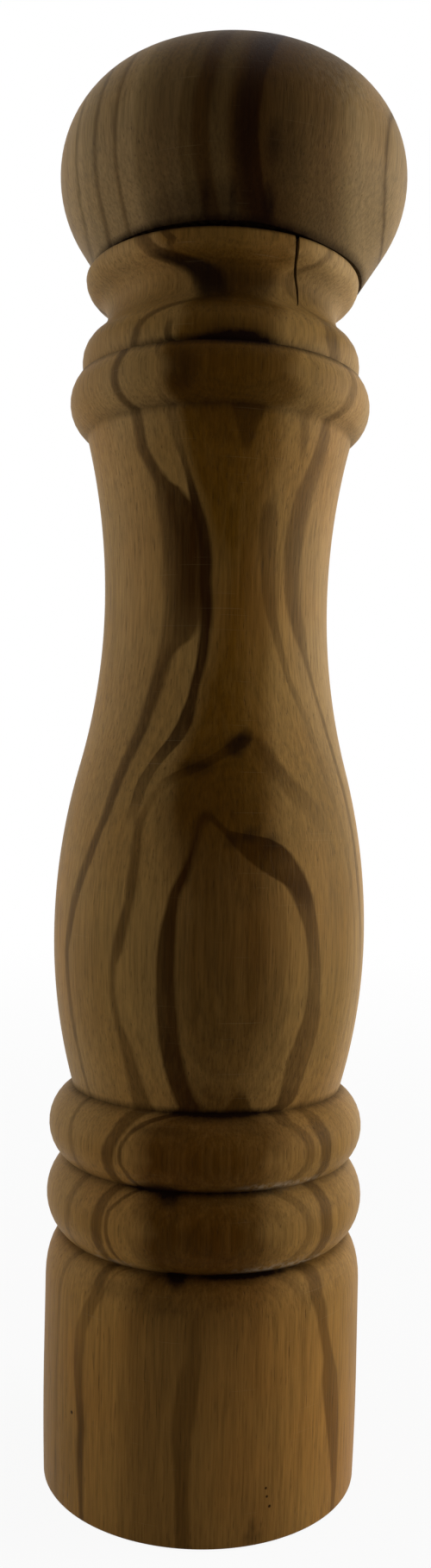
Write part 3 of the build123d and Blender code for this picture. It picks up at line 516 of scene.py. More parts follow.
# %% Dark bands, traced on the front
# Each band: where its halves meet, how far to each side of that they mix, and the
# rows of its left and its right half. Rows: height, x of the outer edge, x of the
# inner edge, strength.
BANDS = {
    "waist_stripe": (2.0, 3.0, [
        (0, -25.6, -25, 0.15), (40, -26, -25.4, 0.2), (53, -25, -24, 0.25),
        (66, -24.5, -23.5, 0.25), (74, -21.4, -20.8, 0.3), (89.5, -25.1, -24.4, 0.4),
        (100, -26.3, -25.4, 0.45), (109, -25.3, -23.9, 0.45), (117, -22.7, -21.2, 0.5),
        (125, -19.5, -18, 0.55), (133, -17.1, -15.1, 0.6), (141, -13.7, -11.5, 0.62),
        (152.6, -10.5, -8, 0.6), (154.4, -10.1, -7, 0.6), (156.6, -9.8, -4.2, 0.6),
        (159.4, -9.6, -2.6, 0.72), (164, -9.5, -1.9, 0.93), (171.5, -9.8, -1.8, 1),
        (176, -10.4, -2.6, 1), (179, -10.8, -4, 0.98), (181, -11.1, -5.3, 0.9),
        (183.4, -11.4, -7.1, 0.76), (184.7, -11.7, -9.2, 0.7), (187.3, -13.2, -10.8, 0.65),
        (190.5, -14.8, -12.9, 0.6), (194.5, -15.5, -13.6, 0.52), (198, -17.3, -15.6, 0.55),
        (202, -19.5, -18.1, 0.55), (206, -18.6, -16.9, 0.5), (208.2, -16.4, -14.8, 0.5),
        (210, -15.9, -14.4, 0.55), (212, -15.2, -13.6, 0.5), (213.4, -13.2, -11, 0.5),
        (214.4, -11.2, -8.2, 0.5), (215.3, -8.2, -4.6, 0.45), (216.3, -5, -1.5, 0.4),
        (217.2, -4, -2, 0), (221, -8, -6, 0), (222.4, -8.5, -6.5, 0.3), (223.6, -12, -6, 0.6),
        (224.6, -13.8, -10.4, 0.55), (228, -14.9, -12.2, 0.5)], [
        (0, 28.6, 28.4, 0.1), (75, 24.7, 24.2, 0.1), (100, 28.5, 28, 0.2), (112, 27.9, 27.3, 0.3),
        (127, 25.6, 24.9, 0.35), (138, 22.3, 21.6, 0.35), (147.5, 19, 18.4, 0.4),
        (154.7, 16.9, 15.8, 0.4), (158.8, 16.6, 14.1, 0.4), (164, 15.6, 12.6, 0.42),
        (172, 15.3, 12.1, 0.45), (178.4, 16.3, 12.8, 0.42), (184.8, 17.8, 14.7, 0.4),
        (191, 19.7, 17.3, 0.4), (195, 20.3, 18.4, 0.4), (197.4, 20.6, 19.3, 0.4),
        (200, 24, 22.4, 0.28), (202.5, 24.9, 23.5, 0.28), (205.8, 24.6, 23.5, 0.28),
        (211, 21.6, 18.6, 0.4), (217, 15, 14, 0.15), (225, 18.6, 17.2, 0.35),
        (228, 18.6, 17.4, 0.3)]),
    "thin_line": (0.5, 3.0, [
        (0, -16, -15, 0), (123, -15.5, -13.5, 0), (127.7, -14.1, -12.2, 0.35),
        (131, -13.2, -11, 0.42), (134, -11.4, -9.2, 0.48), (136.6, -9.6, -7, 0.6),
        (138.5, -8, -5.2, 0.72), (141.5, -6.4, -3.6, 0.76), (146.3, -4.6, -2.9, 0.88),
        (148.9, -4.1, -2.4, 0.92), (154.6, -3, -1.2, 0.92), (157.6, -2.7, -1, 0.95),
        (163.8, -2.7, -0.7, 1), (166.8, -3, -1, 0.9), (170.4, -3, -0.8, 1),
        (175.9, -3.7, -1.5, 1), (178.4, -4.4, -2.3, 1), (181.4, -5.1, -3.4, 0.9),
        (183.9, -5.6, -4.3, 0.7), (186.3, -6.1, -5.1, 0.45), (191.5, -8.2, -6.7, 0.22),
        (196.4, -9.5, -7.7, 0.3), (203, -10, -9.5, 0), (208.4, -9.9, -8.6, 0.6),
        (211, -9.8, -8.4, 0.45), (212.6, -9.4, -8.2, 0), (216, -7, -6.5, 0),
        (223, -7, -6.5, 0), (226, -9.8, -8.1, 0.45), (228, -10, -8.3, 0.4)], [
        (0, 27, 26.5, 0), (100, 27, 26.5, 0.1), (130, 22, 21, 0.1), (142, 17.8, 16.4, 0.16),
        (150, 13.9, 12.8, 0.2), (158.3, 11.6, 10, 0.3), (162.3, 10.8, 8.7, 0.32),
        (168.4, 10.6, 8, 0.3), (175.5, 10.8, 7.6, 0.34), (179, 10.9, 7.8, 0.3),
        (181, 10.3, 8.2, 0.25), (182.5, 10.5, 9, 0), (188, 15, 14.4, 0.1), (189.3, 15.3, 14.5, 0.2),
        (192.7, 16.1, 14.5, 0.26), (197.3, 16.4, 14.6, 0.2), (200, 17, 16, 0), (228, 17, 16, 0)]),
    "arch": (3.5, 1.5, [
        (2.3, -20.9, -20.2, 0.5), (12, -21.6, -20.2, 0.55), (17, -21.5, -20.1, 0.6),
        (22, -22.1, -20.6, 0.45), (28, -22.6, -20.7, 0.35), (34, -22.2, -20.2, 0.3),
        (41, -19.4, -17.1, 0.35), (46.4, -16.6, -15.2, 0.5), (51, -19.6, -17.6, 0.56),
        (53.5, -19.8, -17.7, 0.56), (59, -17, -15.2, 0.5), (64, -17.8, -15.9, 0.6),
        (66, -18.1, -15.9, 0.6), (70, -16.2, -13.9, 0.6), (74, -12.7, -9.2, 0.45),
        (77.4, -13.4, -10.5, 0.5), (85, -15.1, -13.1, 0.4), (89, -16.3, -15.1, 0.35),
        (94, -17.3, -16.1, 0.35), (99, -17.3, -16, 0.4), (101.4, -16.9, -15, 0.5),
        (104, -16.5, -14.4, 0.6), (110, -14.8, -13.2, 0.56), (114, -14.4, -12.5, 0.55),
        (119, -13.8, -12.1, 0.5), (124, -13.4, -11.7, 0.4), (129, -10.6, -9, 0.22),
        (132.2, -7.8, -4.7, 0.2), (133.8, -4.4, -1, 0), (228, -4, -1, 0)], [
        (1.9, 24.8, 24, 0.4), (5, 25.2, 24.1, 0.42), (11, 25.3, 23.5, 0.45),
        (16, 25.3, 22.9, 0.46), (21.5, 25.1, 22.1, 0.46), (25.4, 24.8, 21.8, 0.46),
        (29.3, 23.8, 22, 0.46), (35, 22.6, 20.9, 0.45), (41, 21.5, 18.9, 0.45),
        (46.9, 20.4, 17.9, 0.45), (51.5, 23.1, 20.9, 0.5), (54, 23, 20.7, 0.5),
        (60, 19.8, 17.8, 0.5), (65.6, 22.7, 20.7, 0.5), (70.5, 21.3, 18.6, 0.5),
        (73, 18.5, 16.8, 0.3), (78, 21, 20, 0), (120, 22, 20, 0), (126.4, 19.7, 15.8, 0.15),
        (129.5, 17, 12.6, 0.3), (132.6, 13.8, 10.2, 0.42), (135, 11.9, 8.4, 0.5),
        (137.6, 10.2, 6.8, 0.5), (139.4, 8.6, 6.2, 0.4), (140.6, 7.5, 6.5, 0), (228, 7, 6, 0)]),
    "oval": (0.0, 1.5, [
        (0, -16, -15.5, 0), (45, -15, -14.5, 0.2), (48.5, -15.8, -15, 0.5), (51, -17, -16.2, 0.5),
        (53.4, -17.3, -16.6, 0.5), (56, -16.9, -16.2, 0.5), (63, -13.8, -12.9, 0.5),
        (64.6, -14.9, -14.2, 0.5), (67, -15.1, -14.4, 0.5), (69.4, -13.9, -13.1, 0.5),
        (72.5, -9.5, -7.5, 0.6), (74.6, -4.7, -0.4, 1), (76.8, -5.7, -2, 0.95),
        (79.4, -6.7, -2.9, 0.9), (83, -7.7, -3.9, 0.86), (91, -8.7, -5.1, 0.8),
        (96, -8.9, -5.6, 0.8), (101, -8.9, -5.7, 0.85), (105.7, -8.4, -5.6, 0.9),
        (109.4, -7.5, -5.4, 0.92), (112, -7, -5.1, 1), (113.7, -6.2, -4.2, 1),
        (116.2, -4.8, -3.2, 1), (118.7, -3.9, -2.8, 1), (121, -3.2, -2.1, 0.9),
        (123.6, -2.7, -1.4, 0.75), (125.5, -2.3, 0.4, 0.6), (126.8, -1, 0.2, 0),
        (228, -1, 0.2, 0)], [
        (0, 16, 15, 0), (72, 15, 12.4, 0.3), (74, 14.9, 12.3, 0.62), (76, 16.2, 12.8, 0.55),
        (79, 17.1, 13.4, 0.45), (83, 18.4, 14.2, 0.45), (87.8, 19.7, 16, 0.45),
        (90.3, 20, 16.9, 0.45), (94, 19.8, 17.5, 0.42), (98, 19.9, 17.7, 0.42),
        (102, 19.6, 17.3, 0.45), (105.7, 19.2, 16.7, 0.5), (109.5, 18.5, 15.3, 0.58),
        (112, 17.8, 14.1, 0.64), (114.5, 16.9, 12.2, 0.5), (116.4, 16, 9.8, 0),
        (228, 16, 10, 0)]),
}
# Along the crest the surface faces the sheets, so a band's edge there is traced
# across the surface instead. Rows: height, x from, x to, strength.
CREST_DARK = [
    (0, -3.4, -0.8, 0.42), (8.5, -3.9, -1.4, 0.44), (14.5, -4.2, -1.6, 0.42),
    (19, -4.7, -1.4, 0.32), (24, -4.5, -0.6, 0.35), (28.7, -3.7, 0, 0.3), (32, -2.9, 0.4, 0.25),
    (38, -3.1, 1, 0.2), (43, -3, 2.2, 0), (72.6, 3, 8.4, 0), (73.4, 3, 8.4, 0.6),
    (75, 3.8, 7.8, 0.65), (76.6, 5, 7.2, 0.6), (78, 5.8, 6.6, 0), (109.5, 16.4, 18.9, 0),
    (111.5, 15, 18.2, 0.4),
    (113.5, 13.5, 17.3, 0.6), (115.2, 10.2, 16.5, 0.7), (116.5, 8.4, 15.8, 0.75),
    (118.2, 6.1, 14.6, 0.85), (119.3, 5, 13.8, 0.9), (120.2, 3.9, 12.9, 0.95),
    (121, 3.1, 11.7, 0.95), (121.7, 2.6, 10, 0.95), (122.2, 2.1, 7.6, 0.95),
    (122.7, 1.7, 3.2, 0.95), (123.8, 0.7, 2, 0.95), (124.6, -0.4, 1.4, 0.9),
    (125.3, -1.4, 0.6, 0.75), (126.2, -0.8, 0.1, 0), (130.6, -10, -7.5, 0),
    (132.2, -7.8, -4.4, 0.35), (133.6, -4.9, -0.9, 0.88), (134.7, -2.6, 0.8, 0.62),
    (135.6, -0.8, 2.5, 0.6), (136.6, 0.8, 4.4, 0.8), (137.6, 2.2, 5.8, 1), (138.6, 3.2, 7, 0.95),
    (139.5, 4.2, 7, 0.75), (140.4, 5.2, 6.6, 0.3), (141, 5.6, 6.2, 0), (189, 4.4, 5, 0),
    (190, 4.2, 5.4, 0.5), (192, 3.6, 6.2, 0.65), (194.5, 2.9, 7.2, 0.7), (197, 2, 8.2, 0.75),
    (197.6, 2, 8, 0), (228, 2, 8, 0)]
# The dark that runs down from the lip through the cove, traced the same way.
COVE_SHADE = [
    (214.4, -7, 1, 0), (216, -4.2, 1.4, 0.5), (217.5, -4, 1.4, 0.66), (219, -4.4, 1, 0.84),
    (220.5, -5.1, 0.6, 0.95), (221.8, -6.3, -0.6, 0.95), (222.8, -8.4, -2.6, 0.88),
    (223.6, -11.2, -6.4, 0.7), (224.4, -13, -9.6, 0.4), (225.2, -13.6, -11, 0)]

band_rows = sum(len(half) for band in BANDS.values() for half in band[2:])
print("traced rows:", band_rows + len(CREST_DARK) + len(COVE_SHADE))


# %% From traced rows to bands
def seen_dark(strength):
    """Share of dark for a strength as the eye sees it. The eye's scale rises
    faster than light does, so the wood keeps (1 - strength) to the power 1.5."""
    return 1 - (1 - strength) ** 1.5


def traced(rows, z):
    """Depth of a band's two faces and its share of dark at every height, straight
    between the traced rows."""
    height, outer, inner, strength = np.array(rows, float).T
    faces = np.sort([depth_at(outer, height), depth_at(inner, height)], axis=0)
    return [np.interp(z, height, v) for v in (*faces, seen_dark(strength))]


def smooth(share):
    """Eases a share from 0 to 1 so that it starts and ends level: 3 s^2 - 2 s^3."""
    return share * share * (3 - 2 * share)


def halves(split, glide, left, right):
    """Mixes what was traced at left and at right by a smooth step across the
    line where the two halves meet."""
    share = smooth(part_way(body_side, split - glide, split + glide))
    return [(1 - share) * a + share * b for a, b in zip(left, right)]


def band_place(split, glide, left, right):
    """For one band: how far each point lies in front of its middle, half its
    thickness there, and its strength."""
    far, near, strength = halves(split, glide, traced(left, body_z), traced(right, body_z))
    return np.stack([body_depth - (far + near) / 2, np.maximum(near - far, 0) / 2, strength], -1)


def crest_place(rows):
    """As for a band, but measured across the surface, on the front half only."""
    height, low, high, strength = np.array(rows, float).T
    low, high, dark = (np.interp(body_z, height, v) for v in (low, high, seen_dark(strength)))
    return np.stack([body_x - (low + high) / 2, (high - low) / 2, dark * (body_y < 0)], -1)


body_bands = {name: band_place(*rows) for name, rows in BANDS.items()}
body_bands["crest_dark"] = crest_place(CREST_DARK)
body_bands["cove_shade"] = crest_place(COVE_SHADE)
print("bands:", ", ".join(body_bands))

# %% [markdown]
# # Heartwood and the back
# In front of a sheet the wood can be darker all the way out: the heart of the
# waist, the middle of the bulb and the beads, the cove under the lip. These
# fields have one face only, and their strength changes with height. Behind them
# lies paler sapwood. At the back, where the picture doesn't reach, two plain
# sheets carry the figure on.

# %% Fields of heartwood, traced on the front
# Each field: where its halves meet, how far to each side of that they mix, and its
# rows. Rows: height, x of the edge at left, x of the edge at right, strength at each.
FIELDS = {
    "waist_heart": (2.0, 4.2, [
        (116, 0, 6, 0, 0), (124, -6, 10, 0.9, 0.72), (134, -6, 10, 1, 0.8),
        (140, -4, 10, 1, 0.75), (149, -2.5, 10, 1, 0.7), (157, -1, 10, 1, 0.7),
        (164, -1, 9.5, 1, 0.7), (178, -2.6, 9, 1, 0.75), (186, -5, 10, 1, 0.75),
        (190, -6, 11, 1, 0.75), (196, -7, 11, 1, 0.75), (203, -8, 11, 1, 0.6),
        (208, -8, 9, 1, 0.6), (212, -6, 8, 0.8, 0.55), (216, -4.5, 9, 0.95, 0.8),
        (221, -5.2, 10, 0.95, 0.8), (223, -8, 11, 0.9, 0.6), (225, -10, 12, 0.7, 0.45),
        (228, -10, 13, 0.6, 0.4)]),
    "cove_dark": (1.6, 4.4, [
        (208, -6, 9, 0.06, 0.03), (212, -6, 9, 0.08, 0.06), (214, -5, 9, 0.12, 0.1),
        (216, -4.4, 9, 0.45, 0.4), (217.3, -5, 9.5, 0.6, 0.6), (219.9, -5.9, 10, 0.65, 0.66),
        (221.5, -6.8, 10, 0.6, 0.5), (222.6, -8.5, 10, 0.45, 0.25),
        (223.4, -11, 10, 0.2, 0), (224.2, -12.5, 10, 0, 0), (225, -12, 10, 0, 0)]),
    "middle": (4.0, 4.4, [
        (0, -10.8, 12.6, 0.27, 0.2), (18, -12.2, 12.5, 0.27, 0.2), (34, -12.8, 12.3, 0.32, 0.24),
        (41, -12, 12, 0.6, 0.4), (45, -11, 12, 0.9, 0.7), (54, -9.3, 7, 1, 0.85),
        (60, -9.8, 7, 0.9, 0.7), (66, -10.6, 9, 1, 0.92), (73, -7, 9, 0.85, 0.7),
        (80, -4, 9, 0.75, 0.6), (95, -6, 11.5, 0.82, 0.82), (110, -5, 11, 0.82, 0.82),
        (118, -7, 10, 0.85, 0.75), (127, -8, 10, 0.8, 0.7), (136, -5, 8.6, 0.65, 0.55),
        (150, 1, 5, 0.2, 0), (185, -3, 5, 0.2, 0), (192, -4, 8, 0.6, 0.3), (196, -6, 9, 0.7, 0.4),
        (203, -7.4, 12, 0.9, 0.7), (207, -8, 9, 0.8, 0.6), (213, -6, 9, 0.35, 0.3),
        (222, -5, 8, 0.5, 0.4), (228, -8, 10, 0.1, 0.1)]),
}
# Sapwood: the depth of its front and over how far it fades in; by height, what is
# added to that depth at the collar; its share by x, and its share by height.
SAP_DEPTH, SAP_FADE = 20.0, 9.0
COLLAR_SAP = [190, 200, 208, 213, 221, 225], [0, 6, 6, -2, -2, 5]
SIDE_SAP = [-4.5, 10.5], [0.5, 1]
FOOT_SAP = [34, 60], [0.5, 1]
# Sheets at the back: strength, how far they wave, and the length of the wave across
# and up. Rows: height, depth of the far face, thickness.
BACK_DARK, BACK_WAVE, WAVE_ACROSS, WAVE_UP = 0.75, 0.9, 9.0, 40.0
BACK_SHEETS = {
    "far_back": [(0, -20, 2.2), (100, -20, 2.1), (228, -19.5, 2.3)],
    "back": [(0, -9.5, 0.9), (90, -9.5, 1), (160, -8.5, 1.1), (228, -8.5, 1)],
}
print("fields:", ", ".join(FIELDS), "and at the back:", ", ".join(BACK_SHEETS))


# %% From traced rows to fields, and the sapwood
def field_place(split, glide, rows):
    """For one field: how far each point lies in front of its face, and its
    strength there."""
    height, left, right, left_strength, right_strength = np.array(rows, float).T
    sides = [[np.interp(body_z, height, depth_at(x, height)), np.interp(body_z, height, strength)]
             for x, strength in ((left, left_strength), (right, right_strength))]
    face, strength = halves(split, glide, *sides)
    return np.stack([body_depth - face, np.zeros_like(face), strength], -1)


def back_place(rows):
    """For a sheet at the back: as for a band, the same at left and right, with a
    slow wave across it."""
    far, thick = (np.interp(body_z, *np.array(rows).T[[0, i]]) for i in (1, 2))
    wave = BACK_WAVE * np.sin(body_side / WAVE_ACROSS + body_z / WAVE_UP)
    middle = far + thick / 2 + wave
    return np.stack([body_depth - middle, thick / 2, np.full_like(far, BACK_DARK)], -1)


sap_depth = SAP_DEPTH + np.interp(body_z, *COLLAR_SAP)
sap = part_way(sap_depth - body_depth, 0, SAP_FADE)
sap = sap * np.interp(body_side, *SIDE_SAP) * np.interp(body_z, *FOOT_SAP)
body_fields = {name: field_place(*rows) for name, rows in FIELDS.items()}
body_bands.update({name: back_place(rows) for name, rows in BACK_SHEETS.items()})
print("sapwood: mean share", round(float(sap.mean()), 2))

# %% [markdown]
# # Grime, painted shade, knots and wear
# Hands and pepper dust leave dark grime in the sharp grooves, and the wood has
# small dark knots. The dark in the grooves, in the crack, in the cove and under the
# thin ring is also painted shade, where those recesses lie out of the light. Each
# is a soft spot: a flat-topped bell curve round a place on the surface. Pale
# residue from polish sits in the grooves. Each is a number at every point of the
# grid, which is fine enough for marks of a millimetre or so.

# %% Grime, painted shade and pale residue on the body
def spots(x, z, places):
    """Sum of flat-topped bell curves on the front: each place is x, z, half
    width, half height and strength."""
    total = np.zeros_like(x)
    for px, pz, wide, tall, strength in places:
        total += strength * np.exp(-(((x - px) / wide) ** 2 + ((z - pz) / tall) ** 2) ** 2)
    return total


# Grooves: height, reach, strength. Spots: x, height, half width, half height, strength.
# The dark in the grooves at the foot is grime and painted shade. The groove under the
# large bead (197.1), the one under the thin ring (207.6), the wide one in the cove
# (219.5) and the one on the lip top under the ball (227.9) are painted shade, and so
# are the spots under the ring and in the cove.
GROOVES = [(45.8, 0.7, 0.7), (60.2, 0.7, 0.7), (73.5, 0.6, 0.7), (197.1, 0.8, 0.6),
           (207.6, 0.6, 0.95), (219.5, 4.0, 0.22), (227.9, 0.5, 1.2)]
GROOVE_SOIL = [(2, 73.6, 10, 0.9, 1), (-8, 60.5, 5, 0.9, 1), (-6, 59.2, 2, 1.2, 0.9),
               (-4.4, 45.3, 1.6, 1.2, 1), (8, 45.9, 8, 0.7, 0.7), (5, 60.3, 9, 0.8, 0.7),
               (3, 208.4, 7, 1.2, 0.95), (2.5, 209.6, 6.5, 1.9, 0.4),
               (-8, 208, 8, 0.7, 0.5), (-14, 42.5, 5, 1.6, 0.25),
               (-6, 41.0, 4, 1.3, 0.3), (-8, 71.0, 6, 0.8, 0.3), (8, 71.5, 7, 0.7, 0.3),
               (17, 221.5, 5, 3, 0.25), (-2.6, 219.8, 2.2, 2.6, 0.3), (2, 199, 18, 2, 0.2)]
KNOTS = [(5.6, 139.2, 1.5, 1.2, 0.6), (4.1, 137.5, 2.1, 2.0, 0.8), (-2.8, 133.9, 3.2, 1.4, 0.6),
         (6.9, 122.2, 1.9, 1.3, 0.6), (10.6, 121, 1.8, 1.2, 0.5), (3.6, 121.1, 1.5, 1.1, 0.5),
         (9.6, 1.6, 1.8, 1.4, 0.45), (9.5, 3.6, 0.7, 1.1, 0.4), (1.2, 51.5, 0.5, 0.9, 0.5),
         (-2.7, 52.5, 0.4, 2.0, 0.3), (-7, 202.6, 3.3, 3.8, 0.55)]
RESIDUE = [(14, 46.8, 8, 0.8, 0.8), (14, 61.0, 7, 0.7, 0.7), (-19, 47.0, 1.6, 0.7, 0.5),
           (-12, 61.6, 4, 0.5, 0.35), (-14, 46.6, 3, 0.5, 0.35)]
# How uneven the grime and painted shade are round a groove, their strength in the
# crack, whose black inside is grime and painted shade, what counts as in the crack,
# and the most that is kept.
UNEVEN, CRACK_GRIME, IN_CRACK, MOST_GRIME = 0.25, 2.0, 0.05, 1.4

front = body_y < 0
grime = np.zeros_like(body_x)
for groove_z, reach, strength in GROOVES:
    grime += strength * np.exp(-((body_z - groove_z) / reach) ** 2) * is_outer
grime = grime * (1 - UNEVEN + UNEVEN * np.sin(3 * body_angle + body_z))
grime += spots(body_x, body_z, KNOTS + GROOVE_SOIL) * front * is_outer
# The crack's inside is darkened: grime and painted shade.
grime += CRACK_GRIME * (in_crack > IN_CRACK) * (sunk > IN_CRACK)
residue = spots(body_x, body_z, RESIDUE) * front
raw = np.where(is_outer, 0.0, np.ones_like(body_x))
print("grime covers", round(float((grime > 0.4).mean() * 100), 1), "% of the points")

# %% [markdown]
# # Oiled wood, as one shared effect
# Both wooden pieces share their fine detail, so it is a node group: long fibres
# along the grain, short dark pores, faint lines between the sheets, grime mixed
# with painted shade, pale residue (on the head a painted sheen) and raw unoiled
# wood inside. It takes the figure's colour and puts out the finished colour, a
# roughness and a height for the bump.

# %% Group helpers
def new_group(name, takes, gives):
    """A shader group with named sockets; returns its tree, inputs and outputs."""
    tree = bpy.data.node_groups.new(name, "ShaderNodeTree")
    for direction, sockets in (("INPUT", takes), ("OUTPUT", gives)):
        for label, kind in sockets.items():
            tree.interface.new_socket(label, in_out=direction, socket_type="NodeSocket" + kind)
    return tree, tree.nodes.new("NodeGroupInput").outputs, tree.nodes.new("NodeGroupOutput").inputs


def noise(tree, place, scale, detail=3.0, coarse=0.55):
    """Cloudy noise at a place, stretched by a scale for each axis."""
    spread = node(tree, "Mapping", Vector=place, Scale=scale)
    made = node(tree, "TexNoise", Vector=spread.outputs[0], Scale=1.0, Detail=detail,
                Roughness=coarse)
    return made.outputs[0]


def between(tree, value, low, high):
    """0 below low, 1 above high, straight between."""
    made = node(tree, "MapRange", Value=value, From_Min=low, From_Max=high)
    return made.outputs[0]


# %% Group: oiled wood
PORE = (0.03, 0.014, 0.004, 1)
SCRATCH = (0.5, 0.38, 0.22, 1)
RAW_WOOD = (0.3, 0.2, 0.1, 1)
# Pale polish residue on the body, and the painted sheen on the crown of the head.
POLISH = (0.42, 0.33, 0.22, 1)
# Near black for grime, and for painted shade in the grooves, the cove and the gap under the ball.
SOIL = (0.006, 0.002, 0.001, 1)

wood_group, takes, gives = new_group(
    "oiled_wood",
    {"Figure": "Color", "Depth": "Float", "Grime": "Float", "Residue": "Float", "Raw": "Float"},
    {"Color": "Color", "Roughness": "Float", "Height": "Float"})
tree = wood_group
place = node(tree, "TexCoord").outputs["Object"]
upward = node(tree, "SeparateXYZ", Vector=place).outputs["Z"]
# Noise is finest across the grain and long along it, and for scratches the reverse.
fibre = noise(tree, place, (2300, 2300, 100), 4.0, 0.65)
pore = between(tree, noise(tree, place, (3600, 3600, 190), 2.0), 0.64, 0.72)
sheet_place = node(tree, "CombineXYZ", X=takes["Depth"],
                   Y=maths(tree, "MULTIPLY", upward, 14.0)).outputs[0]
lines = noise(tree, sheet_place, (1.5, 1, 1), 4.0, 0.7)
cloud = noise(tree, place, (60, 60, 22), 3.0)
blush = between(tree, noise(tree, place, (45, 45, 30), 3.0), 0.45, 0.75)
scratch = between(tree, noise(tree, place, (70, 70, 4200), 1.0), 0.72, 0.76)
rub = between(tree, noise(tree, place, (900, 900, 700), 3.0), 0.42, 0.58)
soil = maths(tree, "MULTIPLY", takes["Grime"],
             maths(tree, "MULTIPLY_ADD", rub, 0.16, 0.84), clamp=True)
colour = takes["Figure"]
for texture, stops in ((fibre, [(0.3, 0.72), (0.5, 1.0), (0.72, 1.22)]),
                       (lines, [(0.32, 0.88), (0.5, 1.0), (0.68, 1.08)]),
                       (cloud, [(0.3, 0.86), (0.7, 1.14)]),
                       (blush, [(0.0, (1, 1, 1)), (1.0, (1.04, 0.94, 0.84))])):
    colour = blend(tree, 1.0, colour, ramp(tree, texture, stops), "MULTIPLY")
for mask, amount, stain in ((pore, 0.5, PORE), (scratch, 0.07, SCRATCH),
                            (takes["Raw"], 0.5, RAW_WOOD), (takes["Residue"], rub, POLISH),
                            (soil, 1.0, SOIL)):
    colour = blend(tree, maths(tree, "MULTIPLY", mask, amount), colour, stain)
plug(tree, gives["Color"], colour)
rough = 0.36
for mask, amount in ((fibre, 0.22), (soil, 0.25), (takes["Raw"], 0.25)):
    rough = maths(tree, "MULTIPLY_ADD", mask, amount, rough)
plug(tree, gives["Roughness"], rough)
height = maths(tree, "SUBTRACT", fibre, maths(tree, "MULTIPLY", pore, 0.6))
plug(tree, gives["Height"], height)
print("group:", wood_group.name, len(wood_group.nodes), "nodes")

# %% [markdown]
# # Wood of the body
# The colour starts pale at the back and tan in front. Then each sheet is laid over
# it in turn: a band turns dark between its two faces, a field in front of its one
# face, each by its strength. Streaks of noise along the grain make the dark uneven,
# and a little noise on the distance keeps the edges from looking ruled. Low on the
# body the wood is ruddier. A few pinholes are smaller than the grid, so the
# material draws each of them round its middle.

# %% Colours and order of the sheets
PALE = (0.395, 0.25, 0.105)
TAN = (0.262, 0.147, 0.042)
HEART = (0.112, 0.048, 0.003)
CORE = (0.070, 0.028, 0.002)
DARK = (0.042, 0.016, 0.001)
DUSKY = (0.032, 0.011, 0.001)
DEEP = (0.022, 0.007, 0.001)
PITCH = (0.008, 0.003, 0.001)

# Sheets, in order: the colour inside a band or in front of a field's face, how soft
# and how wandering its edges are, and how much darker a band is for each millimetre
# towards its near face.
BODY_FIGURE = [
    ("far_back", DARK, 0.25, 0.5, 0.0), ("back", DARK, 0.25, 0.5, 0.0),
    ("waist_stripe", DUSKY, 0.28, 0.5, 0.34), ("waist_heart", HEART, 0.5, 0.3, 0.0),
    ("middle", CORE, 1.1, 0.6, 0.0), ("cove_dark", PITCH, 0.4, 0.5, 0.0),
    ("cove_shade", PITCH, 1.0, 0.8, 0.0), ("thin_line", DEEP, 0.08, 0.12, 0.0),
    ("arch", DARK, 0.24, 0.2, 0.1), ("oval", DUSKY, 0.13, 0.1, 0.1),
    ("crest_dark", DARK, 0.35, 0.7, 0.0)]
# Pinholes: x, height, radius. Ruddy wood: its tint, its share, and the heights in
# metres between which it sets in.
PINHOLES = [(11.8, 9.8, 0.3), (12.0, 8.3, 0.3), (12.5, 6.5, 0.35), (-22.7, 18.4, 0.4)]
RUDDY_TINT, RUDDY, RUDDY_RISE = (1.02, 0.88, 0.66, 1), 0.6, (0.085, 0.035)
print("sheets from first to last:", ", ".join(row[0] for row in BODY_FIGURE))


# %% Body material
def read_number(tree, name):
    """The number that a piece stores under a name."""
    return node(tree, "Attribute", {"attribute_name": name}).outputs["Fac"]


def wandering(tree, place):
    """Noise about zero, long along the grain, that sways the edges of the figure."""
    return maths(tree, "SUBTRACT", noise(tree, place, (380, 380, 45), 3.0), 0.5)


